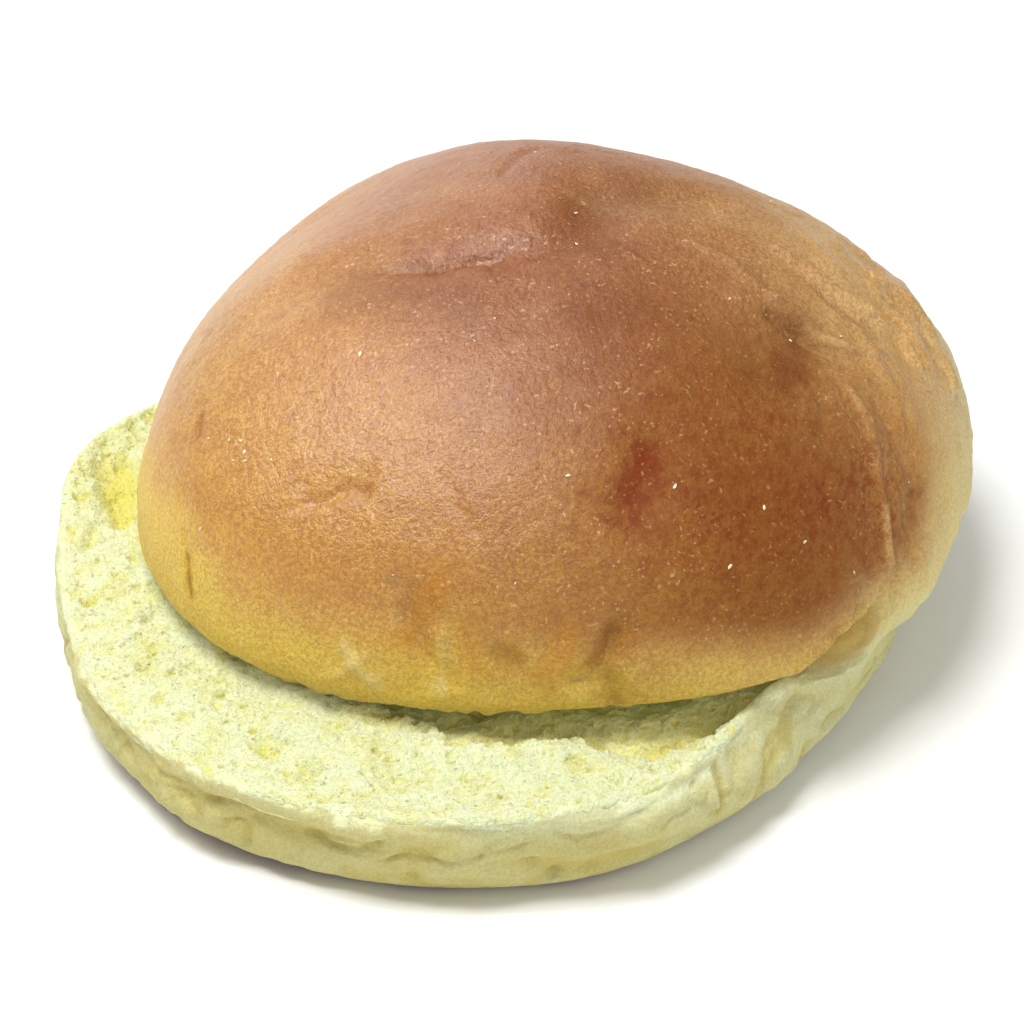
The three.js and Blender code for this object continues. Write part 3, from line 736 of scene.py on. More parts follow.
def ring_mesh(rings, bottom, top):
    """Points and faces of a closed skin. A ring may have half the points of the one before it."""
    points = [np.array([bottom]), *rings, np.array([top])]
    starts = np.cumsum([0] + [len(ring) for ring in points])
    faces = []
    first = np.arange(len(rings[0]))
    after = (first + 1) % len(first)
    faces += [(0, starts[1] + b, starts[1] + a) for a, b in zip(first, after)]
    for number in range(1, len(rings)):
        low, high = starts[number], starts[number + 1]
        size, upper = len(rings[number - 1]), len(rings[number])
        here = np.arange(upper)
        there = (here + 1) % upper
        if size == upper:
            faces += list(zip(low + here, low + there, high + there, high + here))
        else:
            left, middle, right = low + 2 * here, low + 2 * here + 1, low + (2 * here + 2) % size
            faces += list(zip(left, middle, high + here))
            faces += list(zip(middle, high + there, high + here))
            faces += list(zip(middle, right, high + there))
    last = starts[-2]
    low = starts[-3]
    count = len(rings[-1])
    faces += [(last, low + a, low + (a + 1) % count) for a in range(count)]
    return np.concatenate(points), [tuple(int(i) for i in face) for face in faces]


def make_piece(name, points, faces, **values):
    """An object from points in millimetres, with numbers or colours kept at its points."""
    mesh = bpy.data.meshes.new(name)
    mesh.from_pydata((points - ORIGIN) * MM, [], faces)
    mesh.polygons.foreach_set("use_smooth", np.ones(len(mesh.polygons), bool))
    for label, value in values.items():
        value = np.asarray(value, np.float32)
        if value.ndim == 1:
            mesh.attributes.new(label, "FLOAT", "POINT").data.foreach_set("value", value)
        else:
            colour = np.concatenate([value, np.ones((len(value), 1), np.float32)], axis=1)
            mesh.attributes.new(label, "FLOAT_COLOR", "POINT").data.foreach_set("color", colour.ravel())
    mesh.update()
    piece = bpy.data.objects.new(name, mesh)
    bpy.context.scene.collection.objects.link(piece)
    return piece


# Colours of the skin, place by place.
BAKED_MARKS = [  # ends as [azimuth, latitude], width, colour and strength
    ([(-138, 68), (-128, 72), (-112, 73)], 3.5, RED_BROWN, 0.42),
    ([(-150, 58), (-135, 62), (-118, 62)], 6.0, PURPLE, 0.40),
    ([(-78, 60), (-60, 60)], 4.5, PURPLE, 0.42),
    ([(-60, 76), (20, 77), (30, 70)], 5.5, PURPLE, 0.50),
    ([(-43, 42), (-36, 43), (-29, 45)], 3.0, PURPLE, 0.80),
    ([(-80, 31), (-77, 34), (-74, 38)], 3.6, RED_BROWN, 0.48),
    ([(-79.5, 32), (-77, 35), (-75, 38)], 1.5, RED_BROWN, 0.62),
    ([(-126, 27), (-122, 29), (-119, 31)], 0.9, RED_BROWN, 0.35),
    ([(-1, 35), (-10, 30)], 1.6, ORANGE, 0.35),
    ([(-84, 12), (-86, 6), (-84, 0)], 1.4, RED_BROWN, 0.40),
    ([(-98, 8), (-96, 7)], 1.6, RED_BROWN, 0.45),
    ([(-110, 18), (-107, 8)], 1.8, RED_BROWN, 0.22),
    ([(-141, 10), (-140, 4)], 0.6, RED_BROWN, 0.9),
    ([(-152, 29), (-150, 27)], 0.8, RED_BROWN, 0.55),
    ([(-32, 16), (-31, 15)], 1.2, RED_BROWN, 0.55),
    ([(-36, 0), (-36, -1)], 0.6, RED_BROWN, 0.6),
    ([(-32, 6), (-26, 18)], 8.0, TAN, 0.38),
    ([(-66, 30), (-58, 26), (-48, 24)], 9.0, RED_BROWN, 0.30),
    ([(-2, 33), (-7, 26)], 1.2, ORANGE, 0.8),
    ([(-104, 10), (-106, 2)], 3.2, GOLD, 0.5),
    ([(-105, 11), (-105, 6), (-105, 1)], 0.8, PALE_SKIN, 0.55),
    ([(-117, 7), (-116, 4), (-113, 1)], 0.9, PALE_SKIN, 0.55),
    ([(-114, 6), (-116, 3), (-118, 1)], 0.6, PALE_SKIN, 0.40),
    ([(-111, 18), (-111, 12)], 0.8, PALE_SKIN, 0.40),
    ([(-106, 20), (-107, 15), (-109, 9)], 1.4, TAN, 0.75),
    ([(-102, 12), (-101, 6)], 1.4, TAN, 0.5),
    ([(-90, 10), (-93, 5)], 1.6, TAN, 0.5),
]
REDDEST = [(-66, 30), (-50, 24), (-40, 22)]  # the middle of the crown's reddest area
RED_DENT = [(-80, 30), (-77, 34), (-74, 39)]
PALE_LIMIT = (  # azimuths, and the latitude up to which the crown's foot is pale
    (-180, -150, -70, -55, -45, -30, -14, 10, 60, 100, 140, 180),
    (-30, -30, -22, -7, 3, 12, 18, 22, 24, 16, -8, -30),
)


def crown_colour(points):
    """Colour, gloss and share of red-brown of the baked skin, golden by the rim and rosier on top, with
    painted light and a painted sheen on the left, a painted highlight on ridges and painted shade in grooves.
    """
    azimuth = azimuth_about(CROWN["centre"], points)
    height = points[:, 2]
    wander = layers(points, BAKED_WANDER)
    left = bell(turn(-165, azimuth), 45)
    low = height - 14 - wander - 7 * left
    # The gold is painted lighter on the left side: painted light from that side.
    colour = blend(np.array(GOLD) * (1 + 0.15 * left)[:, None], ORANGE, ease(3, 15, low))
    colour = blend(colour, TAN, ease(16, 30, low))
    colour = blend(colour, ROSE, ease(28, 42, low))
    # A painted pinkish-beige sheen on the crown's left side.
    colour = blend(colour, BEIGE, 0.30 * left * ease(8, 18, low) * fade(24, 34, low))
    deep = bell(turn(-55, azimuth), 43) * ease(6, 16, low) * (1 - 0.55 * ease(48, 57, height))
    colour = blend(colour, DEEP_BROWN, 0.85 * deep)
    side = bell(turn(8, azimuth), 30) * fade(44, 56, height) + 0.35 * bell(turn(0, azimuth), 50)
    colour = blend(colour, BEIGE, 0.75 * np.minimum(side, 1))
    reddest = bell(chain_distance(points, dome_chain(REDDEST)), 16.0)
    baked = reddest * (0.8 + 0.4 * noise(points, 7.0, 53)) + 0.30 * ease(8, 20, low) * (1 - reddest)
    baked = np.maximum(baked, bell(chain_distance(points, dome_chain(RED_DENT)), 4.5))
    baked *= 1 - 0.85 * ease(-40, -20, azimuth)
    marked = np.zeros(len(points))
    uneven = 1 + layers(points, MARK_EDGE)
    for ends, width, tone, strength in BAKED_MARKS:
        distance = chain_distance(points, dome_chain(ends)) * uneven
        colour = blend(colour, tone, strength * bell(distance, width))
        marked = np.maximum(marked, strength * bell(distance, width * 1.5))
    relief = fine_relief(points)
    # Painted highlight on the ridges of the fine relief, and painted shade in its grooves.
    colour = blend(colour, BEIGE, 0.55 * ease(0.25, 0.9, relief))
    colour = blend(colour, RED_BROWN, 0.35 * ease(0.25, 0.8, -relief))
    latitude = np.degrees(np.arcsin(np.clip((height - WAIST_HEIGHT) / (CROWN_TOP - WAIST_HEIGHT), -0.2, 1)))
    limit = np.interp(azimuth, *PALE_LIMIT)
    pale = ease(-14, 12, limit - latitude + 2.2 * wander)
    colour = blend(colour, PALE_SKIN, pale)
    dull = 0.75 * deep + 0.5 * fade(4, 14, low)
    gloss = (1 - 0.55 * pale) * (1 - np.minimum(dull, 0.78)) * (1 - 0.75 * marked)
    return colour, gloss, baked * (1 - pale)


HEEL_MARKS = [  # ends in millimetres, width, colour and strength
    ([(-53, -0.6, 12.8), (-51.4, -8.5, 12.9), (-49.8, -15, 12.8), (-48.5, -19.2, 12.7)],
     0.55, BASE_BROWN, 0.35),
    ([(-48.5, -19.2, 12.7), (-46.9, -21.3, 12.9), (-45.2, -22.2, 12.9)], 0.6, BASE_BROWN, 0.45),
    ([(-47.3, -24, 11.9), (-45.4, -28.4, 12), (-43, -32, 12), (-36.7, -38.4, 12.2)], 1.6, HEEL_TAN, 0.7),
    ([(-36.7, -38.4, 12.2), (-28, -46.6, 12.4), (-22, -50.0, 12.5)], 0.9, HEEL_TAN, 0.75),
    ([(-10, -52.6, 11.5), (-4, -52.8, 11.0)], 1.8, HEEL_TAN, 0.6),
    ([(6, -53.2, 10.4), (9.5, -53.0, 8.6)], 1.0, HEEL_TAN, 0.7),
    ([(17, -50.1, 12.9), (20.4, -48.4, 12.6), (24, -45.8, 12.3), (28.2, -41.6, 12.4)], 0.6, CRUMB_PALE, 0.8),
    ([(29.2, -41.8, 11.5), (29.6, -42.1, 9.5), (29.2, -41.9, 6.0)], 0.6, HEEL_TAN, 0.7),
]


def heel_colour(points):
    """The heel's pale side, browned along its bottom edge."""
    azimuth = azimuth_about(HEEL["centre"], points)
    height = points[:, 2]
    colour = blend(HEEL_SKIN, HEEL_TAN, 0.45 * ease(-0.3, 1.1, layers(points, HEEL_PATCHES)))
    lip = bell(height - 10.5, 2.6) * ease(-175, -150, azimuth) * fade(-108, -85, azimuth)
    colour = blend(colour, HEEL_TAN, 0.70 * lip)
    front = ease(-150, -125, azimuth) * fade(-75, -50, azimuth) * fade(9, 13, height)
    colour = blend(colour, HEEL_TAN, 0.42 * front)
    for ends, width, tone, strength in HEEL_MARKS:
        distance = chain_distance(points, np.array(ends, float)) * (1 + 0.4 * noise(points, 1.6, 65))
        colour = blend(colour, tone, strength * bell(distance, width))
    relief = heel_fine_relief(azimuth, height)
    # Painted shade, tan, in the grooves of the heel's side.
    colour = blend(colour, HEEL_TAN, 0.75 * ease(0.15, 0.9, -relief) * ease(1.5, 3, height))
    below_rim = rim_top(points) - height
    colour = blend(colour, CRUMB_PALE, 0.22 * fade(0.5, 5.0, below_rim))
    left = ease(-160, -150, azimuth) * fade(-116, -104, azimuth)
    edge = 0.75 + 0.9 * left + layers(points, BASE_EDGE)
    browned = 1 - ease(edge - 0.25, edge + 0.35, height)
    return blend(colour, BASE_BROWN, 0.92 * browned)


def rim_top(points):
    return cut_height(points[:, 0], points[:, 1]) - 0.6


def skin_colour(zones, points):
    """Colour, gloss and share of red-brown at each point of the skin."""
    gloss = np.zeros(len(points))
    red = np.zeros(len(points))
    crown, crown_gloss, crown_red = crown_colour(points)
    heel = heel_colour(points)
    crumb = blend(CRUMB_PALE, CRUMB_YELLOW, 0.18 + 0.2 * noise(points, 2.0, 64))
    held = joined(axis_azimuth(points))
    baked = np.isin(zones, ["dome", "lip"])
    colour = heel.copy()
    colour[baked] = crown[baked]
    gloss[baked] = crown_gloss[baked]
    red[baked] = np.clip(crown_red, 0, 1)[baked]
    inside = np.isin(zones, ["floor", "roof"])
    skin_height = np.clip((points[:, 2] - 9) / 10, 0, 1)
    hinge_skin = blend(heel, crown, ease(0.3, 1, skin_height))
    colour[inside] = blend(crumb, hinge_skin, held)[inside]
    # Tan on the skin tucked beneath the crown's lip, partly its own colour and partly painted shade under the
    # lip.
    tucked_tan_and_shade = np.clip(lip_tuck(points)[1] * (0.90 + 0.3 * noise(points, 2.0, 69)), 0, 1)
    colour = blend(colour, HINGE_TAN_AND_SHADE, 0.95 * tucked_tan_and_shade)
    gloss *= 1 - tucked_tan_and_shade
    above_rim = points[:, 2] - rim_top(points)
    torn = ease(-0.35, 0.25, layers(points, TORN_SKIN) + above_rim)
    edge = np.isin(zones, ["rim", "side"]) & (above_rim > -2.0)
    colour[edge] = blend(heel, crumb, 0.85 * torn * (1 - held))[edge]
    roof_lip = (zones == "lip") & (held < 0.5)
    colour[roof_lip] = blend(crown, PALE_SKIN, 0.35)[roof_lip]
    return colour, gloss, red


# Node trees.
def is_socket(value):
    return isinstance(value, bpy.types.NodeSocket)


def fill(tree, made, inputs):
    """Links or sets a node's inputs, by socket name or number."""
    for key, value in dict(inputs).items():
        if is_socket(value):
            tree.links.new(value, made.inputs[key])
        else:
            made.inputs[key].default_value = value


def add(tree, kind, inputs=(), output=0, **settings):
    """Adds a node with its settings and inputs, and gives one of its outputs."""
    made = tree.nodes.new(kind)
    for name, value in settings.items():
        setattr(made, name, value)
    fill(tree, made, inputs)
    return made.outputs[output]


def maths(tree, operation, *values):
    return add(tree, "ShaderNodeMath", enumerate(values), operation=operation)


def times(tree, product, *values):
    for value in values:
        product = maths(tree, "MULTIPLY", product, value)
    return product


def ramp(tree, value, low, high, low_value=0.0, high_value=1.0):
    inputs = {"Value": value, "From Min": low, "From Max": high, "To Min": low_value, "To Max": high_value}
    return add(tree, "ShaderNodeMapRange", inputs, interpolation_type="SMOOTHSTEP")


def scaled(tree, vector, share):
    return add(tree, "ShaderNodeVectorMath", {0: vector, "Scale": share}, operation="SCALE")


def pattern_scale(tree, size):
    """A pattern's scale from the size of its lumps in millimetres, which is a number or a socket."""
    return maths(tree, "DIVIDE", 1.0, size) if is_socket(size) else 1 / size


def lumpy(tree, place, size, detail=2.0, roughness=0.5, output=0):
    inputs = {"Vector": place, "Scale": pattern_scale(tree, size), "Detail": detail, "Roughness": roughness}
    return add(tree, "ShaderNodeTexNoise", inputs, output=output)


def cells(tree, place, size, feature="F1"):
    inputs = {"Vector": place, "Scale": pattern_scale(tree, size)}
    return add(tree, "ShaderNodeTexVoronoi", inputs, output="Distance", feature=feature)


def bent_place(tree, place, size, amount):
    """The place shifted to and fro, so that a pattern's cells aren't regular."""
    shift = lumpy(tree, place, size, output="Color")
    return add(tree, "ShaderNodeVectorMath", {0: shift, 1: (amount,) * 3, 2: place}, operation="MULTIPLY_ADD")


def shape_tree(name, sizes):
    """A Geometry Nodes tree with a named input for each size, and those inputs."""
    tree = bpy.data.node_groups.new(name, "GeometryNodeTree")
    for way in ("INPUT", "OUTPUT"):
        tree.interface.new_socket("Geometry", in_out=way, socket_type="NodeSocketGeometry")
    for size in sizes:
        tree.interface.new_socket(size, in_out="INPUT", socket_type="NodeSocketFloat")
    return tree, tree.nodes.new("NodeGroupInput").outputs


def finish_tree(tree, geometry, material):
    realized = add(tree, "GeometryNodeRealizeInstances", {"Geometry": geometry})
    dressed = add(tree, "GeometryNodeSetMaterial", {"Geometry": realized, "Material": material})
    fill(tree, tree.nodes.new("NodeGroupOutput"), {0: dressed})
    return tree


def run_tree(piece, tree, sizes):
    """Runs the tree on the piece and keeps the result as its mesh."""
    modifier = piece.modifiers.new(tree.name, "NODES")
    modifier.node_group = tree
    for socket in tree.interface.items_tree:
        if socket.in_out == "INPUT" and socket.name in sizes:
            modifier[socket.identifier] = float(sizes[socket.name])
    graph = bpy.context.evaluated_depsgraph_get()
    result = bpy.data.meshes.new_from_object(
        piece.evaluated_get(graph), preserve_all_data_layers=True, depsgraph=graph
    )
    old = piece.data
    piece.modifiers.clear()
    piece.data = result
    bpy.data.meshes.remove(old)
    result.name = piece.name


def in_millimetres(tree):
    return scaled(tree, add(tree, "GeometryNodeInputPosition"), 1 / MM)


def named(tree, label, kind="FLOAT"):
    return add(tree, "GeometryNodeInputNamedAttribute", {"Name": label}, data_type=kind)


def push(tree, geometry, distance):
    """Moves the points along their normals by a distance in millimetres."""
    along = scaled(tree, add(tree, "GeometryNodeInputNormal"), times(tree, distance, MM))
    return add(tree, "GeometryNodeSetPosition", {"Geometry": geometry, "Offset": along})


CRUST_GRAIN = {"Pebble size": 1.1, "Pebble height": 0.22, "Wrinkle size": 2.1, "Wrinkle height": 0.34}


def crust_grain_tree(material):
    """Fine pebbles and wrinkles all over the baked skin."""
    tree, given = shape_tree("crust_grain", CRUST_GRAIN)
    place = in_millimetres(tree)
    pebbles = maths(tree, "SUBTRACT", lumpy(tree, place, given["Pebble size"], 1.0), 0.5)
    wrinkles = maths(tree, "SUBTRACT", lumpy(tree, place, given["Wrinkle size"]), 0.5)
    pebbles = times(tree, pebbles, given["Pebble height"])
    wrinkles = times(tree, maths(tree, "ABSOLUTE", wrinkles), given["Wrinkle height"])
    relief = times(tree, maths(tree, "ADD", pebbles, wrinkles), named(tree, "grain"))
    return finish_tree(tree, push(tree, given["Geometry"], relief), material)


OPEN_CRUMB = {
    "Pore size": 1.5, "Pore depth": 0.62, "Fine pore size": 0.75, "Fine pore depth": 0.22,
    "Pit size": 3.6, "Pit depth": 0.9, "Tuft size": 1.3, "Tuft height": 1.35,
}
PORE_SHARES = {"Pore": 0.55, "Fine pore": 0.7, "Pit": 0.22}  # the share of the cells that are hollow


def pores(tree, place, size, depth, share):
    """Round hollows in a share of the cells, each with a depth of its own."""
    middle = cells(tree, place, size)
    chance = add(tree, "ShaderNodeSeparateXYZ", {0: middle.node.outputs["Color"]})
    return times(tree, ramp(tree, middle, 0.12, 0.48, 1.0, 0.0), ramp(tree, chance, 1 - share, 1.0), depth)


def crumb_tree(material):
    """Open crumb: pores between thin walls, over soft tufts."""
    tree, given = shape_tree("open_crumb", OPEN_CRUMB)
    bent = bent_place(tree, in_millimetres(tree), 1.25, 1.1)
    hollow = 0.0
    for kind, share in PORE_SHARES.items():
        sunk = pores(tree, bent, given[kind + " size"], given[kind + " depth"], share)
        hollow = maths(tree, "ADD", hollow, sunk)
    tufts = maths(tree, "SUBTRACT", lumpy(tree, bent, given["Tuft size"], 4.0, 0.7), 0.5)
    relief = maths(tree, "SUBTRACT", times(tree, tufts, given["Tuft height"]), hollow)
    relief = times(tree, relief, named(tree, "open"))
    stored = {"Geometry": given["Geometry"], "Name": "relief", "Value": relief}
    stored = add(tree, "GeometryNodeStoreNamedAttribute", stored, data_type="FLOAT", domain="POINT")
    return finish_tree(tree, push(tree, stored, relief), material)


def knobbly_ball(tree, subdivisions, bump_scale, bump_height):
    """A small uneven ball, about 1 across before it is scaled."""
    ball = add(tree, "GeometryNodeMeshIcoSphere", {"Radius": 0.5, "Subdivisions": subdivisions})
    bumps = lumpy(tree, add(tree, "GeometryNodeInputPosition"), 1 / bump_scale, output="Color")
    bumps = add(tree, "ShaderNodeVectorMath", {0: bumps, 1: (0.5, 0.5, 0.5)}, operation="SUBTRACT")
    bumps = scaled(tree, bumps, bump_height)
    return add(tree, "GeometryNodeSetPosition", {"Geometry": ball, "Offset": bumps})


def scatter(tree, points, ball, turned, size, material):
    """A ball at each point, turned and sized one by one."""
    inputs = {"Points": points, "Instance": ball, "Rotation": turned, "Scale": size}
    return finish_tree(tree, add(tree, "GeometryNodeInstanceOnPoints", inputs), material)


FLECK_SIZES = {"Fleck length": 0.75}
FLECK_SHAPE = (0.001, 0.00055, 0.00035)  # metres, of a fleck of length 1


def fleck_tree(material):
    """Small pale flecks that lie on the crust."""
    tree, given = shape_tree("flecks", FLECK_SIZES)
    size = times(tree, named(tree, "size"), given["Fleck length"])
    turned = named(tree, "tilt", "FLOAT_VECTOR")
    ball = knobbly_ball(tree, 2, 2.2, 0.7)
    return scatter(tree, given["Geometry"], ball, turned, scaled(tree, FLECK_SHAPE, size), material)


LOOSE_SIZES = {"Crumbs per square millimetre": 0.6, "Smallest": 0.12, "Largest": 0.50}
MANY_SMALL = 2.5  # the higher, the more of the loose crumbs are small
FULL_TURN = 6.28


def loose_crumb_tree(material):
    """Loose crumbs caught in the cut face."""
    tree, given = shape_tree("loose_crumbs", LOOSE_SIZES)
    density = times(tree, given["Crumbs per square millimetre"], 1 / MM**2, named(tree, "open"))
    spots = {"Mesh": given["Geometry"], "Density": density, "Seed": 5}
    spots = add(tree, "GeometryNodeDistributePointsOnFaces", spots, output="Points")
    turned = {0: (0, 0, 0), 1: (FULL_TURN,) * 3, "Seed": 2}
    turned = add(tree, "FunctionNodeRandomValue", turned, data_type="FLOAT_VECTOR")
    chance = add(tree, "FunctionNodeRandomValue", {2: 0.0, 3: 1.0, "Seed": 3}, output=1, data_type="FLOAT")
    chance = maths(tree, "POWER", chance, MANY_SMALL)
    smallest = times(tree, given["Smallest"], MM)
    span = maths(tree, "SUBTRACT", times(tree, given["Largest"], MM), smallest)
    size = maths(tree, "MULTIPLY_ADD", chance, span, smallest)
    return scatter(tree, spots, knobbly_ball(tree, 1, 1.7, 1.0), turned, size, material)


# Materials.
GRAIN_DARK = (0.70, 0.50, 0.34)
# The tint of the paler grain, which is partly painted glints.
GRAIN_PALE_AND_GLINT = (1.18, 1.26, 1.45)
BLOTCH = (0.80, 0.66, 0.50)
# The tint of the pale specks, which are partly small blisters and partly painted glints.
CRUST_SPECK_AND_GLINT = (0.80, 0.55, 0.27)
FLECK_TAN = (0.66, 0.50, 0.28)
FLECK_PALE = (0.88, 0.80, 0.62)


def new_material(name):
    """A material with only its shader in it, and the place on the roll in millimetres."""
    material = bpy.data.materials.new(name)
    material.use_nodes = True
    tree = material.node_tree
    tree.nodes.clear()
    shader = tree.nodes.new("ShaderNodeBsdfPrincipled")
    fill(tree, tree.nodes.new("ShaderNodeOutputMaterial"), {"Surface": shader.outputs[0]})
    place = scaled(tree, add(tree, "ShaderNodeTexCoord", output="Object"), 1 / MM)
    return material, tree, shader, place


def at_points(tree, label, output="Fac"):
    return add(tree, "ShaderNodeAttribute", output=output, attribute_name=label)


def mix_colour(tree, a, b, share, how="MIX"):
    inputs = {0: share}
    for number, colour in ((6, a), (7, b)):
        inputs[number] = colour if is_socket(colour) else (*colour, 1.0)
    return add(tree, "ShaderNodeMix", inputs, output=2, data_type="RGBA", blend_type=how)


def bump(tree, height, distance, strength=1.0, onto=None):
    """Relief of a height in millimetres, onto the relief before it."""
    inputs = {"Height": height, "Distance": distance * MM, "Strength": strength}
    if onto is not None:
        inputs["Normal"] = onto
    return add(tree, "ShaderNodeBump", inputs)


def crust_material():
    """Baked skin: mottled, pebbled and softly glossy on the crown, matte and pale on the heel."""
    material, tree, shader, place = new_material("baked_crust")
    tint, gloss, red = at_points(tree, "tint", "Color"), at_points(tree, "gloss"), at_points(tree, "red")
    grain = lumpy(tree, place, 0.50, 3.0, 0.62)
    fine = lumpy(tree, place, 0.22, 2.0, 0.6)
    shade = ramp(tree, maths(tree, "MULTIPLY_ADD", fine, 0.45, times(tree, grain, 0.55)), 0.40, 0.60)
    # The grain is darker and paler by turns; its paler part is partly painted glints, stronger where the
    # crust is glossy.
    darker = mix_colour(tree, tint, GRAIN_DARK, 1.0, "MULTIPLY")
    paler_with_glints = mix_colour(tree, tint, GRAIN_PALE_AND_GLINT, 1.0, "MULTIPLY")
    grained = mix_colour(tree, darker, paler_with_glints, shade)
    colour = mix_colour(tree, tint, grained, ramp(tree, gloss, 0.0, 0.8, 0.22, 0.66))

    slanted = {"Vector": place, "Scale": (1.0, 0.55, 1.0), "Rotation": (0.3, 0.2, 0.6)}
    slanted = add(tree, "ShaderNodeMapping", slanted)
    spots = ramp(tree, lumpy(tree, slanted, 1.2, 5.0, 0.80), 0.43, 0.60)
    colour = mix_colour(tree, colour, RED_BROWN, times(tree, spots, red, 0.58))
    blotches = ramp(tree, lumpy(tree, place, 4.5, 4.0, 0.6), 0.38, 0.62)
    colour = mix_colour(tree, colour, BLOTCH, times(tree, blotches, times(tree, gloss, 0.40)), "MULTIPLY")
    # Pale specks, partly small blisters and partly painted glints, stronger where the crust is glossy.
    specks = ramp(tree, lumpy(tree, place, 0.52, 1.0, 0.4), 0.62, 0.74)
    rare = ramp(tree, lumpy(tree, place, 2.6, 1.0), 0.40, 0.60, 0.15, 1.0)
    specks = times(tree, specks, rare, ramp(tree, gloss, 0.0, 0.6, 0.12, 0.38))
    colour = mix_colour(tree, colour, CRUST_SPECK_AND_GLINT, specks)

    rough = maths(tree, "MULTIPLY_ADD", gloss, -0.40, 0.66)
    pebbles = ramp(tree, cells(tree, slanted, 0.85), 0.1, 0.7, 1.0, 0.0)
    normal = bump(tree, pebbles, 0.07, 0.7, bump(tree, grain, 0.20, 0.9))
    fill(tree, shader, {
        "Base Color": colour,
        "Roughness": maths(tree, "MULTIPLY_ADD", grain, 0.12, rough),
        "Normal": bump(tree, fine, 0.09, 0.9, normal),
        "Specular IOR Level": ramp(tree, gloss, 0.0, 1.0, 0.04, 1.0),
        "Subsurface Weight": 0.05,
        "Subsurface Radius": (1.0, 0.5, 0.2),
        "Subsurface Scale": 0.0015,
    })
    return material


def crumb_material():
    """Soft pale crumb, with painted shade in yellow down in its pores, low places and torn hollows, and in
    brown beneath the crown.
    """
    material, tree, shader, place = new_material("soft_crumb")
    relief, depth, shade = (at_points(tree, label) for label in ("relief", "depth", "shade"))
    bent = bent_place(tree, place, 1 / 1.3, 0.9)
    fluff = lumpy(tree, bent, 0.5, 5.0, 0.72)
    small = ramp(tree, cells(tree, bent, 0.5, "DISTANCE_TO_EDGE"), 0.04, 0.30)
    large = ramp(tree, cells(tree, bent, 1.25, "DISTANCE_TO_EDGE"), 0.06, 0.36)
    opened = ramp(tree, lumpy(tree, place, 2.6), 0.42, 0.60)
    hollow = maths(tree, "MAXIMUM", times(tree, small, 0.55), times(tree, large, opened))

    # Painted shade, yellow, in the low places of the relief and in the pores.
    low = ramp(tree, relief, -0.75, 0.10, 1.0, 0.0)
    patches = ramp(tree, lumpy(tree, place, 4.0, 4.0), 0.40, 0.64)
    share = maths(tree, "MULTIPLY_ADD", patches, 0.38, times(tree, low, 0.60))
    share = maths(tree, "MULTIPLY_ADD", hollow, 0.54, share)
    share = maths(tree, "ADD", share, ramp(tree, fluff, 0.32, 0.62, 0.16, -0.22))
    colour = mix_colour(tree, CRUMB_PALE, CRUMB_YELLOW, share)
    # Painted shade, yellow, in the torn hollows.
    hollow_shade = times(tree, depth, ramp(tree, fluff, 0.3, 0.7, 1.0, 0.7))
    colour = mix_colour(tree, colour, CRUMB_HOLLOW_SHADE, hollow_shade)
    # Painted shade beneath the crown's lip and down the torn step, browner in the pores.
    shade = times(tree, shade, ramp(tree, relief, -0.7, 0.35, 1.0, 0.5))
    browned = times(tree, hollow, ramp(tree, fluff, 0.35, 0.6, 1.0, 0.3))
    colour = mix_colour(tree, colour, mix_colour(tree, CRUMB_SHADE, CRUMB_SHADE_IN_PORES, browned), shade)

    walls = maths(tree, "SUBTRACT", 1.0, hollow)
    fill(tree, shader, {
        "Base Color": colour,
        "Normal": bump(tree, walls, 0.18, 0.8, bump(tree, fluff, 0.40, 0.9)),
        "Roughness": 0.9,
        "Specular IOR Level": 0.15,
        "Subsurface Weight": 0.3,
        "Subsurface Radius": (1.0, 0.85, 0.4),
        "Subsurface Scale": 0.0008,
    })
    return material


def fleck_material():
    material, tree, shader, place = new_material("pale_fleck")
    colour = mix_colour(tree, FLECK_TAN, FLECK_PALE, lumpy(tree, place, 0.3))
    fill(tree, shader, {"Base Color": colour, "Roughness": 0.6})
    return material


# The pieces.
HALVED_AT = (0.52, 0.20)  # shares of the dome's rows from the top, where the rings lose half their points


def roll_body(material):
    """The whole skin of the roll, closed from the base round the slot to the top."""
    named_rings = skin_rings()
    halvings = {int(len(named_rings) - DOME_ROWS * share) for share in HALVED_AT}
    zones = []
    rings = []
    step = 1
    for number, (zone, ring) in enumerate(named_rings):
        if number in halvings:
            step *= 2
        rings.append(ring[::step])
        zones += [zone] * len(rings[-1])
    bottom = np.array([*HEEL["centre"], 0.0])
    top = crown_point(np.array([0.0]), np.array([90.0]))[0]
    points, faces = ring_mesh(rings, bottom, top)
    zones = np.array(["base", *zones, "dome"])
    colour, gloss, red = skin_colour(zones, points)
    grain = np.where(np.isin(zones, ["dome", "lip"]), 1.0, 0.6)
    grain[(zones == "base") | (points[:, 2] < 0.3)] = 0.0
    body = make_piece("roll_body", points, faces, tint=colour, gloss=gloss, grain=grain, red=red)
    run_tree(body, crust_grain_tree(material), CRUST_GRAIN)
    return body


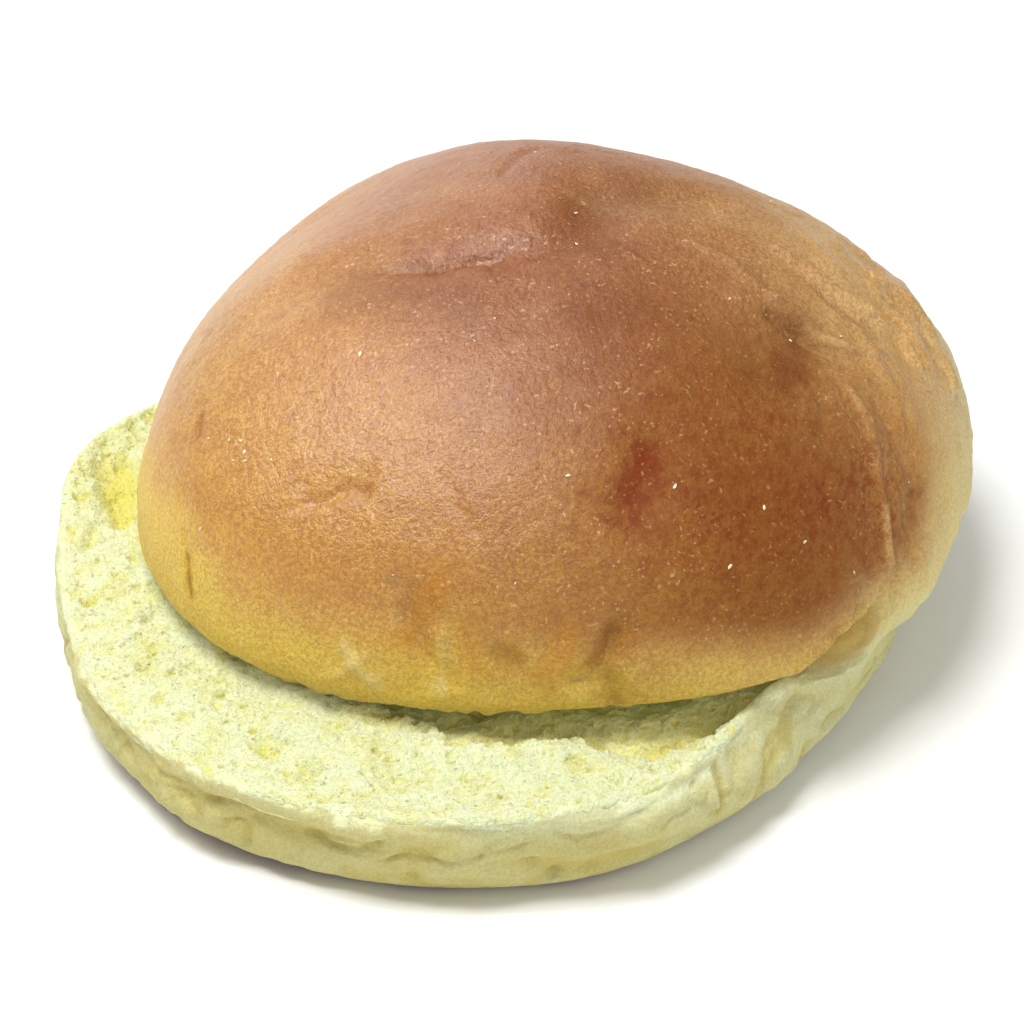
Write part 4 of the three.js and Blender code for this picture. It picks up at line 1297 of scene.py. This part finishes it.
def crumb_points():
    """The crumb's surface out over the heel's rim, its bottom, and where it is covered and where it gets
    painted shade.
    """
    azimuths = np.linspace(CRUMB_FROM, CRUMB_TO, CRUMB_COLUMNS)
    outer = rim_reach(azimuths)
    foot = foot_reach(azimuths)
    inner = np.minimum(outer, foot) - CRUMB_UNDER
    share = np.linspace(0, 1, CRUMB_ROWS)[:, None]
    along = mix(inner, outer + CRUMB_OVER, share)
    reach = np.minimum(along, outer)
    bent = np.clip((along - reach) / RIM_ROUND, 0, math.pi / 2)
    hanging = np.maximum(along - reach - RIM_ROUND * math.pi / 2, 0)
    every = np.broadcast_to(azimuths, reach.shape)
    plan = around(AXIS, reach, every, 0.0)
    x, y = plan[..., 0], plan[..., 1]
    cut = cut_height(x, y)
    cover = crumb_cover(azimuths)
    from_rim = outer - along
    low = crumb_relief(x, y) * ease(0.3, 2.5, from_rim)
    fine = -hollow_depth(x, y, SMALL_HOLLOWS) * ease(0.2, 1.6, from_rim)

    # The torn step down towards the crown in front, and the rise beneath it elsewhere.
    from_foot = reach - foot
    uneven = layers(plan, STEP_EDGE)
    drop = crumb_step(azimuths, DROP)
    stepped = fade(-0.45, 0.45, from_foot - crumb_step(azimuths, FROM_FOOT) + uneven)
    in_front = ease(-124, -108, azimuths)
    fine = fine - drop * stepped + 0.9 * (1 - in_front) * fade(-1.0, 2.2, from_foot)

    # The ragged border on the heel's rim.
    edge = np.stack(np.broadcast_arrays(AROUND * azimuths * DEGREE, along - outer, 0.0), axis=-1)
    ragged = layers(edge, CRUMB_BORDER)
    lift = 0.16 + 0.15 * ragged - 0.75 * ease(0.4, 2.6, ragged - from_rim) - 0.45 * (1 - cover)
    inland = ease(0.3, 2.0, from_rim)
    lift = lift * (1 - inland) - 0.05 * inland - 0.3 * (1 - cover)
    top = around(AXIS, reach + (RIM_ROUND + lift) * np.sin(bent), every, 0.0)
    over_rim = lift * np.cos(bent) - RIM_ROUND * (1 - np.cos(bent)) - hanging
    top[..., 2] = cut + low + fine * cover + over_rim
    bottom = around(AXIS, mix(inner, outer - 1.5, share), every, 0.0)
    bottom[..., 2] = cut - CRUMB_BOTTOM
    # Painted shade on the crumb near the crown's foot and down the torn step in front.
    near = 0.9 * fade(-1.0, 3.0, from_foot + 0.8 * uneven)
    shade = in_front * np.maximum(near, 0.75 * stepped * (drop > 0.2))
    return top, bottom, from_rim, cover, shade


def plate_faces(rows, columns):
    """The faces of a closed plate: rows of points on top, then the first and the last row of its bottom."""
    under, over = rows * columns, rows * columns + columns
    here = np.arange(columns - 1)
    faces = []
    for row in range(rows - 1):
        a, b = row * columns + here, (row + 1) * columns + here
        faces += list(zip(b, b + 1, a + 1, a))
    last = (rows - 1) * columns
    faces += list(zip(here, here + 1, under + here + 1, under + here))
    faces += list(zip(last + here + 1, last + here, over + here, over + here + 1))
    faces += list(zip(under + here, under + here + 1, over + here + 1, over + here))
    start = [row * columns for row in range(rows)]
    end = [row * columns + columns - 1 for row in range(rows)]
    faces.append((over, *start[::-1], under))
    faces.append((under + columns - 1, *end, over + columns - 1))
    return [tuple(int(i) for i in face) for face in faces]


def cut_crumb(material):
    """The open crumb of the cut face, a plate that laps over the heel's rim."""
    top, bottom, from_rim, cover, shade = crumb_points()
    rows, columns = top.shape[:2]
    points = np.concatenate([top.reshape(-1, 3), bottom[0], bottom[-1]])
    opened = mix(0.35, 1.0, ease(-1.6, 0.8, from_rim)) * ease(-CRUMB_OVER, 1.0 - CRUMB_OVER, from_rim) * cover
    opened[0] = 0
    # How deep the torn hollows are, which the crumb's material fills with painted shade.
    deep = ease(0.5, 2.6, hollow_depth(top[..., 0], top[..., 1], CRUMB_HOLLOWS + SMALL_HOLLOWS))
    closed = np.zeros(2 * columns)
    crumb = make_piece(
        "cut_crumb", points, plate_faces(rows, columns),
        open=np.concatenate([opened.ravel(), closed]),
        depth=np.concatenate([deep.ravel(), closed]),
        shade=np.concatenate([shade.ravel(), closed + 1]),
    )
    run_tree(crumb, crumb_tree(material), OPEN_CRUMB)
    return crumb


def loose_crumbs(crumb, material):
    piece = bpy.data.objects.new("loose_crumbs", crumb.data.copy())
    bpy.context.scene.collection.objects.link(piece)
    run_tree(piece, loose_crumb_tree(material), LOOSE_SIZES)
    return piece


FLECKS = [  # azimuth, latitude and length in millimetres
    (90, 68, 0.9), (-12, 81, 0.8), (-58, 76, 0.8), (30, 47, 0.7), (-131, 50, 1.1), (-35, 55, 0.6),
    (-30, 45, 0.8), (-56, 20, 0.8), (-68, 20, 1.0), (-139, 30, 0.9), (-141, 31, 0.8), (-138, 29, 0.7),
    (-140, 28, 0.6), (-143, 30, 0.6), (-134, 31, 0.6), (-147, 28, 0.6), (-20, 40, 0.7), (-104, 60, 0.5),
    (-88, 36, 0.9), (-72, 33, 1.0), (-60, 27, 0.9), (-140, 16, 0.8), (-50, 12, 0.6), (-96, 20, 0.5),
]
SCATTERED_FLECKS = 50
SCATTERED_RANGES = [(-180, 180), (2, 80), (0.2, 0.45)]  # azimuth, latitude and length
FLECK_LIFT = 0.10
NEARBY = 0.4  # degrees to each side, where the skin's slope is taken


def flecks(material):
    """Flecks that stand flat on the skin, at chosen places and then at random."""
    chosen = np.random.default_rng(12)
    azimuth, latitude, size = (
        np.concatenate([column, chosen.uniform(low, high, SCATTERED_FLECKS)])
        for column, (low, high) in zip(zip(*FLECKS), SCATTERED_RANGES)
    )
    east = crown_point(azimuth + NEARBY, latitude) - crown_point(azimuth - NEARBY, latitude)
    north = crown_point(azimuth, latitude + NEARBY) - crown_point(azimuth, latitude - NEARBY)
    normal = np.cross(east, north)
    normal /= np.linalg.norm(normal, axis=1, keepdims=True)
    points = crown_point(azimuth, latitude) + normal * FLECK_LIFT
    tilts = []
    for n, spin in zip(normal, chosen.uniform(0, 2 * math.pi, len(normal))):
        turned = Vector(n).to_track_quat("Z", "Y").to_matrix() @ Matrix.Rotation(spin, 3, "Z")
        tilts.append(tuple(turned.to_euler()))
    piece = make_piece("crust_flecks", points, [], size=size)
    tilt = piece.data.attributes.new("tilt", "FLOAT_VECTOR", "POINT")
    tilt.data.foreach_set("vector", np.array(tilts, np.float32).ravel())
    run_tree(piece, fleck_tree(material), FLECK_SIZES)
    return piece


# The room: a pale floor, soft windows and walls round the roll, and the camera.
FLOOR_PALE = (0.90, 0.90, 0.89, 1)
DAYLIGHT = (0.96, 0.98, 1.0, 1)
DAYLIGHT_STRENGTH = 0.38
LIT_SPOT = (0, 0, 0.03)  # the place that every light faces, in metres
LIGHTS = [  # name, place and width in metres, and power in watts
    ("window_above", (-0.12, -0.10, 0.56), 0.24, 2.7),
    ("window_left", (-0.40, 0.02, 0.50), 0.30, 0.9),
    ("window_behind_left", (-0.26, 0.70, 0.31), 0.80, 1.8),
    ("wall_right", (0.55, -0.14, 0.26), 0.50, 0.8),
    ("room_in_front", (0.05, -0.72, 0.24), 0.60, 0.75),
]


def pale_floor():
    bpy.ops.mesh.primitive_plane_add(size=6)
    floor = bpy.context.object
    floor.name = "floor"
    material = bpy.data.materials.new("pale_floor")
    material.use_nodes = True
    tree = material.node_tree
    fill(tree, tree.nodes["Principled BSDF"], {"Base Color": FLOOR_PALE, "Roughness": 0.8})
    floor.data.materials.append(material)


def area_light(name, place, size, power):
    data = bpy.data.lights.new(name, "AREA")
    data.shape = "DISK"
    data.size = size
    data.energy = power
    light = bpy.data.objects.new(name, data)
    light.location = place
    light.rotation_euler = (Vector(LIT_SPOT) - Vector(place)).to_track_quat("-Z", "Y").to_euler()
    bpy.context.scene.collection.objects.link(light)


def soft_light():
    """Even daylight, which doesn't show in the crust's gloss, and the lights, which do."""
    world = bpy.data.worlds.new("soft_room")
    world.use_nodes = True
    tree = world.node_tree
    fill(tree, tree.nodes["Background"], {"Color": DAYLIGHT, "Strength": DAYLIGHT_STRENGTH})
    world.cycles_visibility.glossy = False
    bpy.context.scene.world = world
    for light in LIGHTS:
        area_light(*light)
    bpy.context.scene.view_settings.view_transform = "Standard"


def photo_camera():
    """The camera 35 degrees above the table, aimed so that the roll lies in the picture as in the photo."""
    focal, centre_x, centre_y = 3020, 473, 655  # pixels: where the roll's own origin shows
    size, distance, elevation = 1024, 0.4, 35 * DEGREE
    back = Vector((0, -math.cos(elevation), math.sin(elevation)))
    right = Vector((1, 0, 0))
    up = back.cross(right)
    target = Vector(-ORIGIN * MM)
    ahead = (right * (size / 2 - centre_x) + up * (centre_y - size / 2)) / focal - back
    away = -ahead.normalized()
    across = (right - away * right.dot(away)).normalized()
    data = bpy.data.cameras.new("camera")
    data.sensor_width = 36
    data.lens = 36 * focal / size
    camera = bpy.data.objects.new("camera", data)
    camera.matrix_world = Matrix((across, away.cross(across), away)).transposed().to_4x4()
    camera.location = target + back * distance
    bpy.context.scene.collection.objects.link(camera)
    bpy.context.scene.camera = camera


crust = crust_material()
crumb_finish = crumb_material()
body = roll_body(crust)
crumb = cut_crumb(crumb_finish)
crumbs = loose_crumbs(crumb, crumb_finish)
specks = flecks(fleck_material())
for piece in (body, crumb, crumbs, specks):
    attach(piece, "root")
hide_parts("roll")
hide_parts("roll")

pale_floor()
soft_light()
photo_camera()
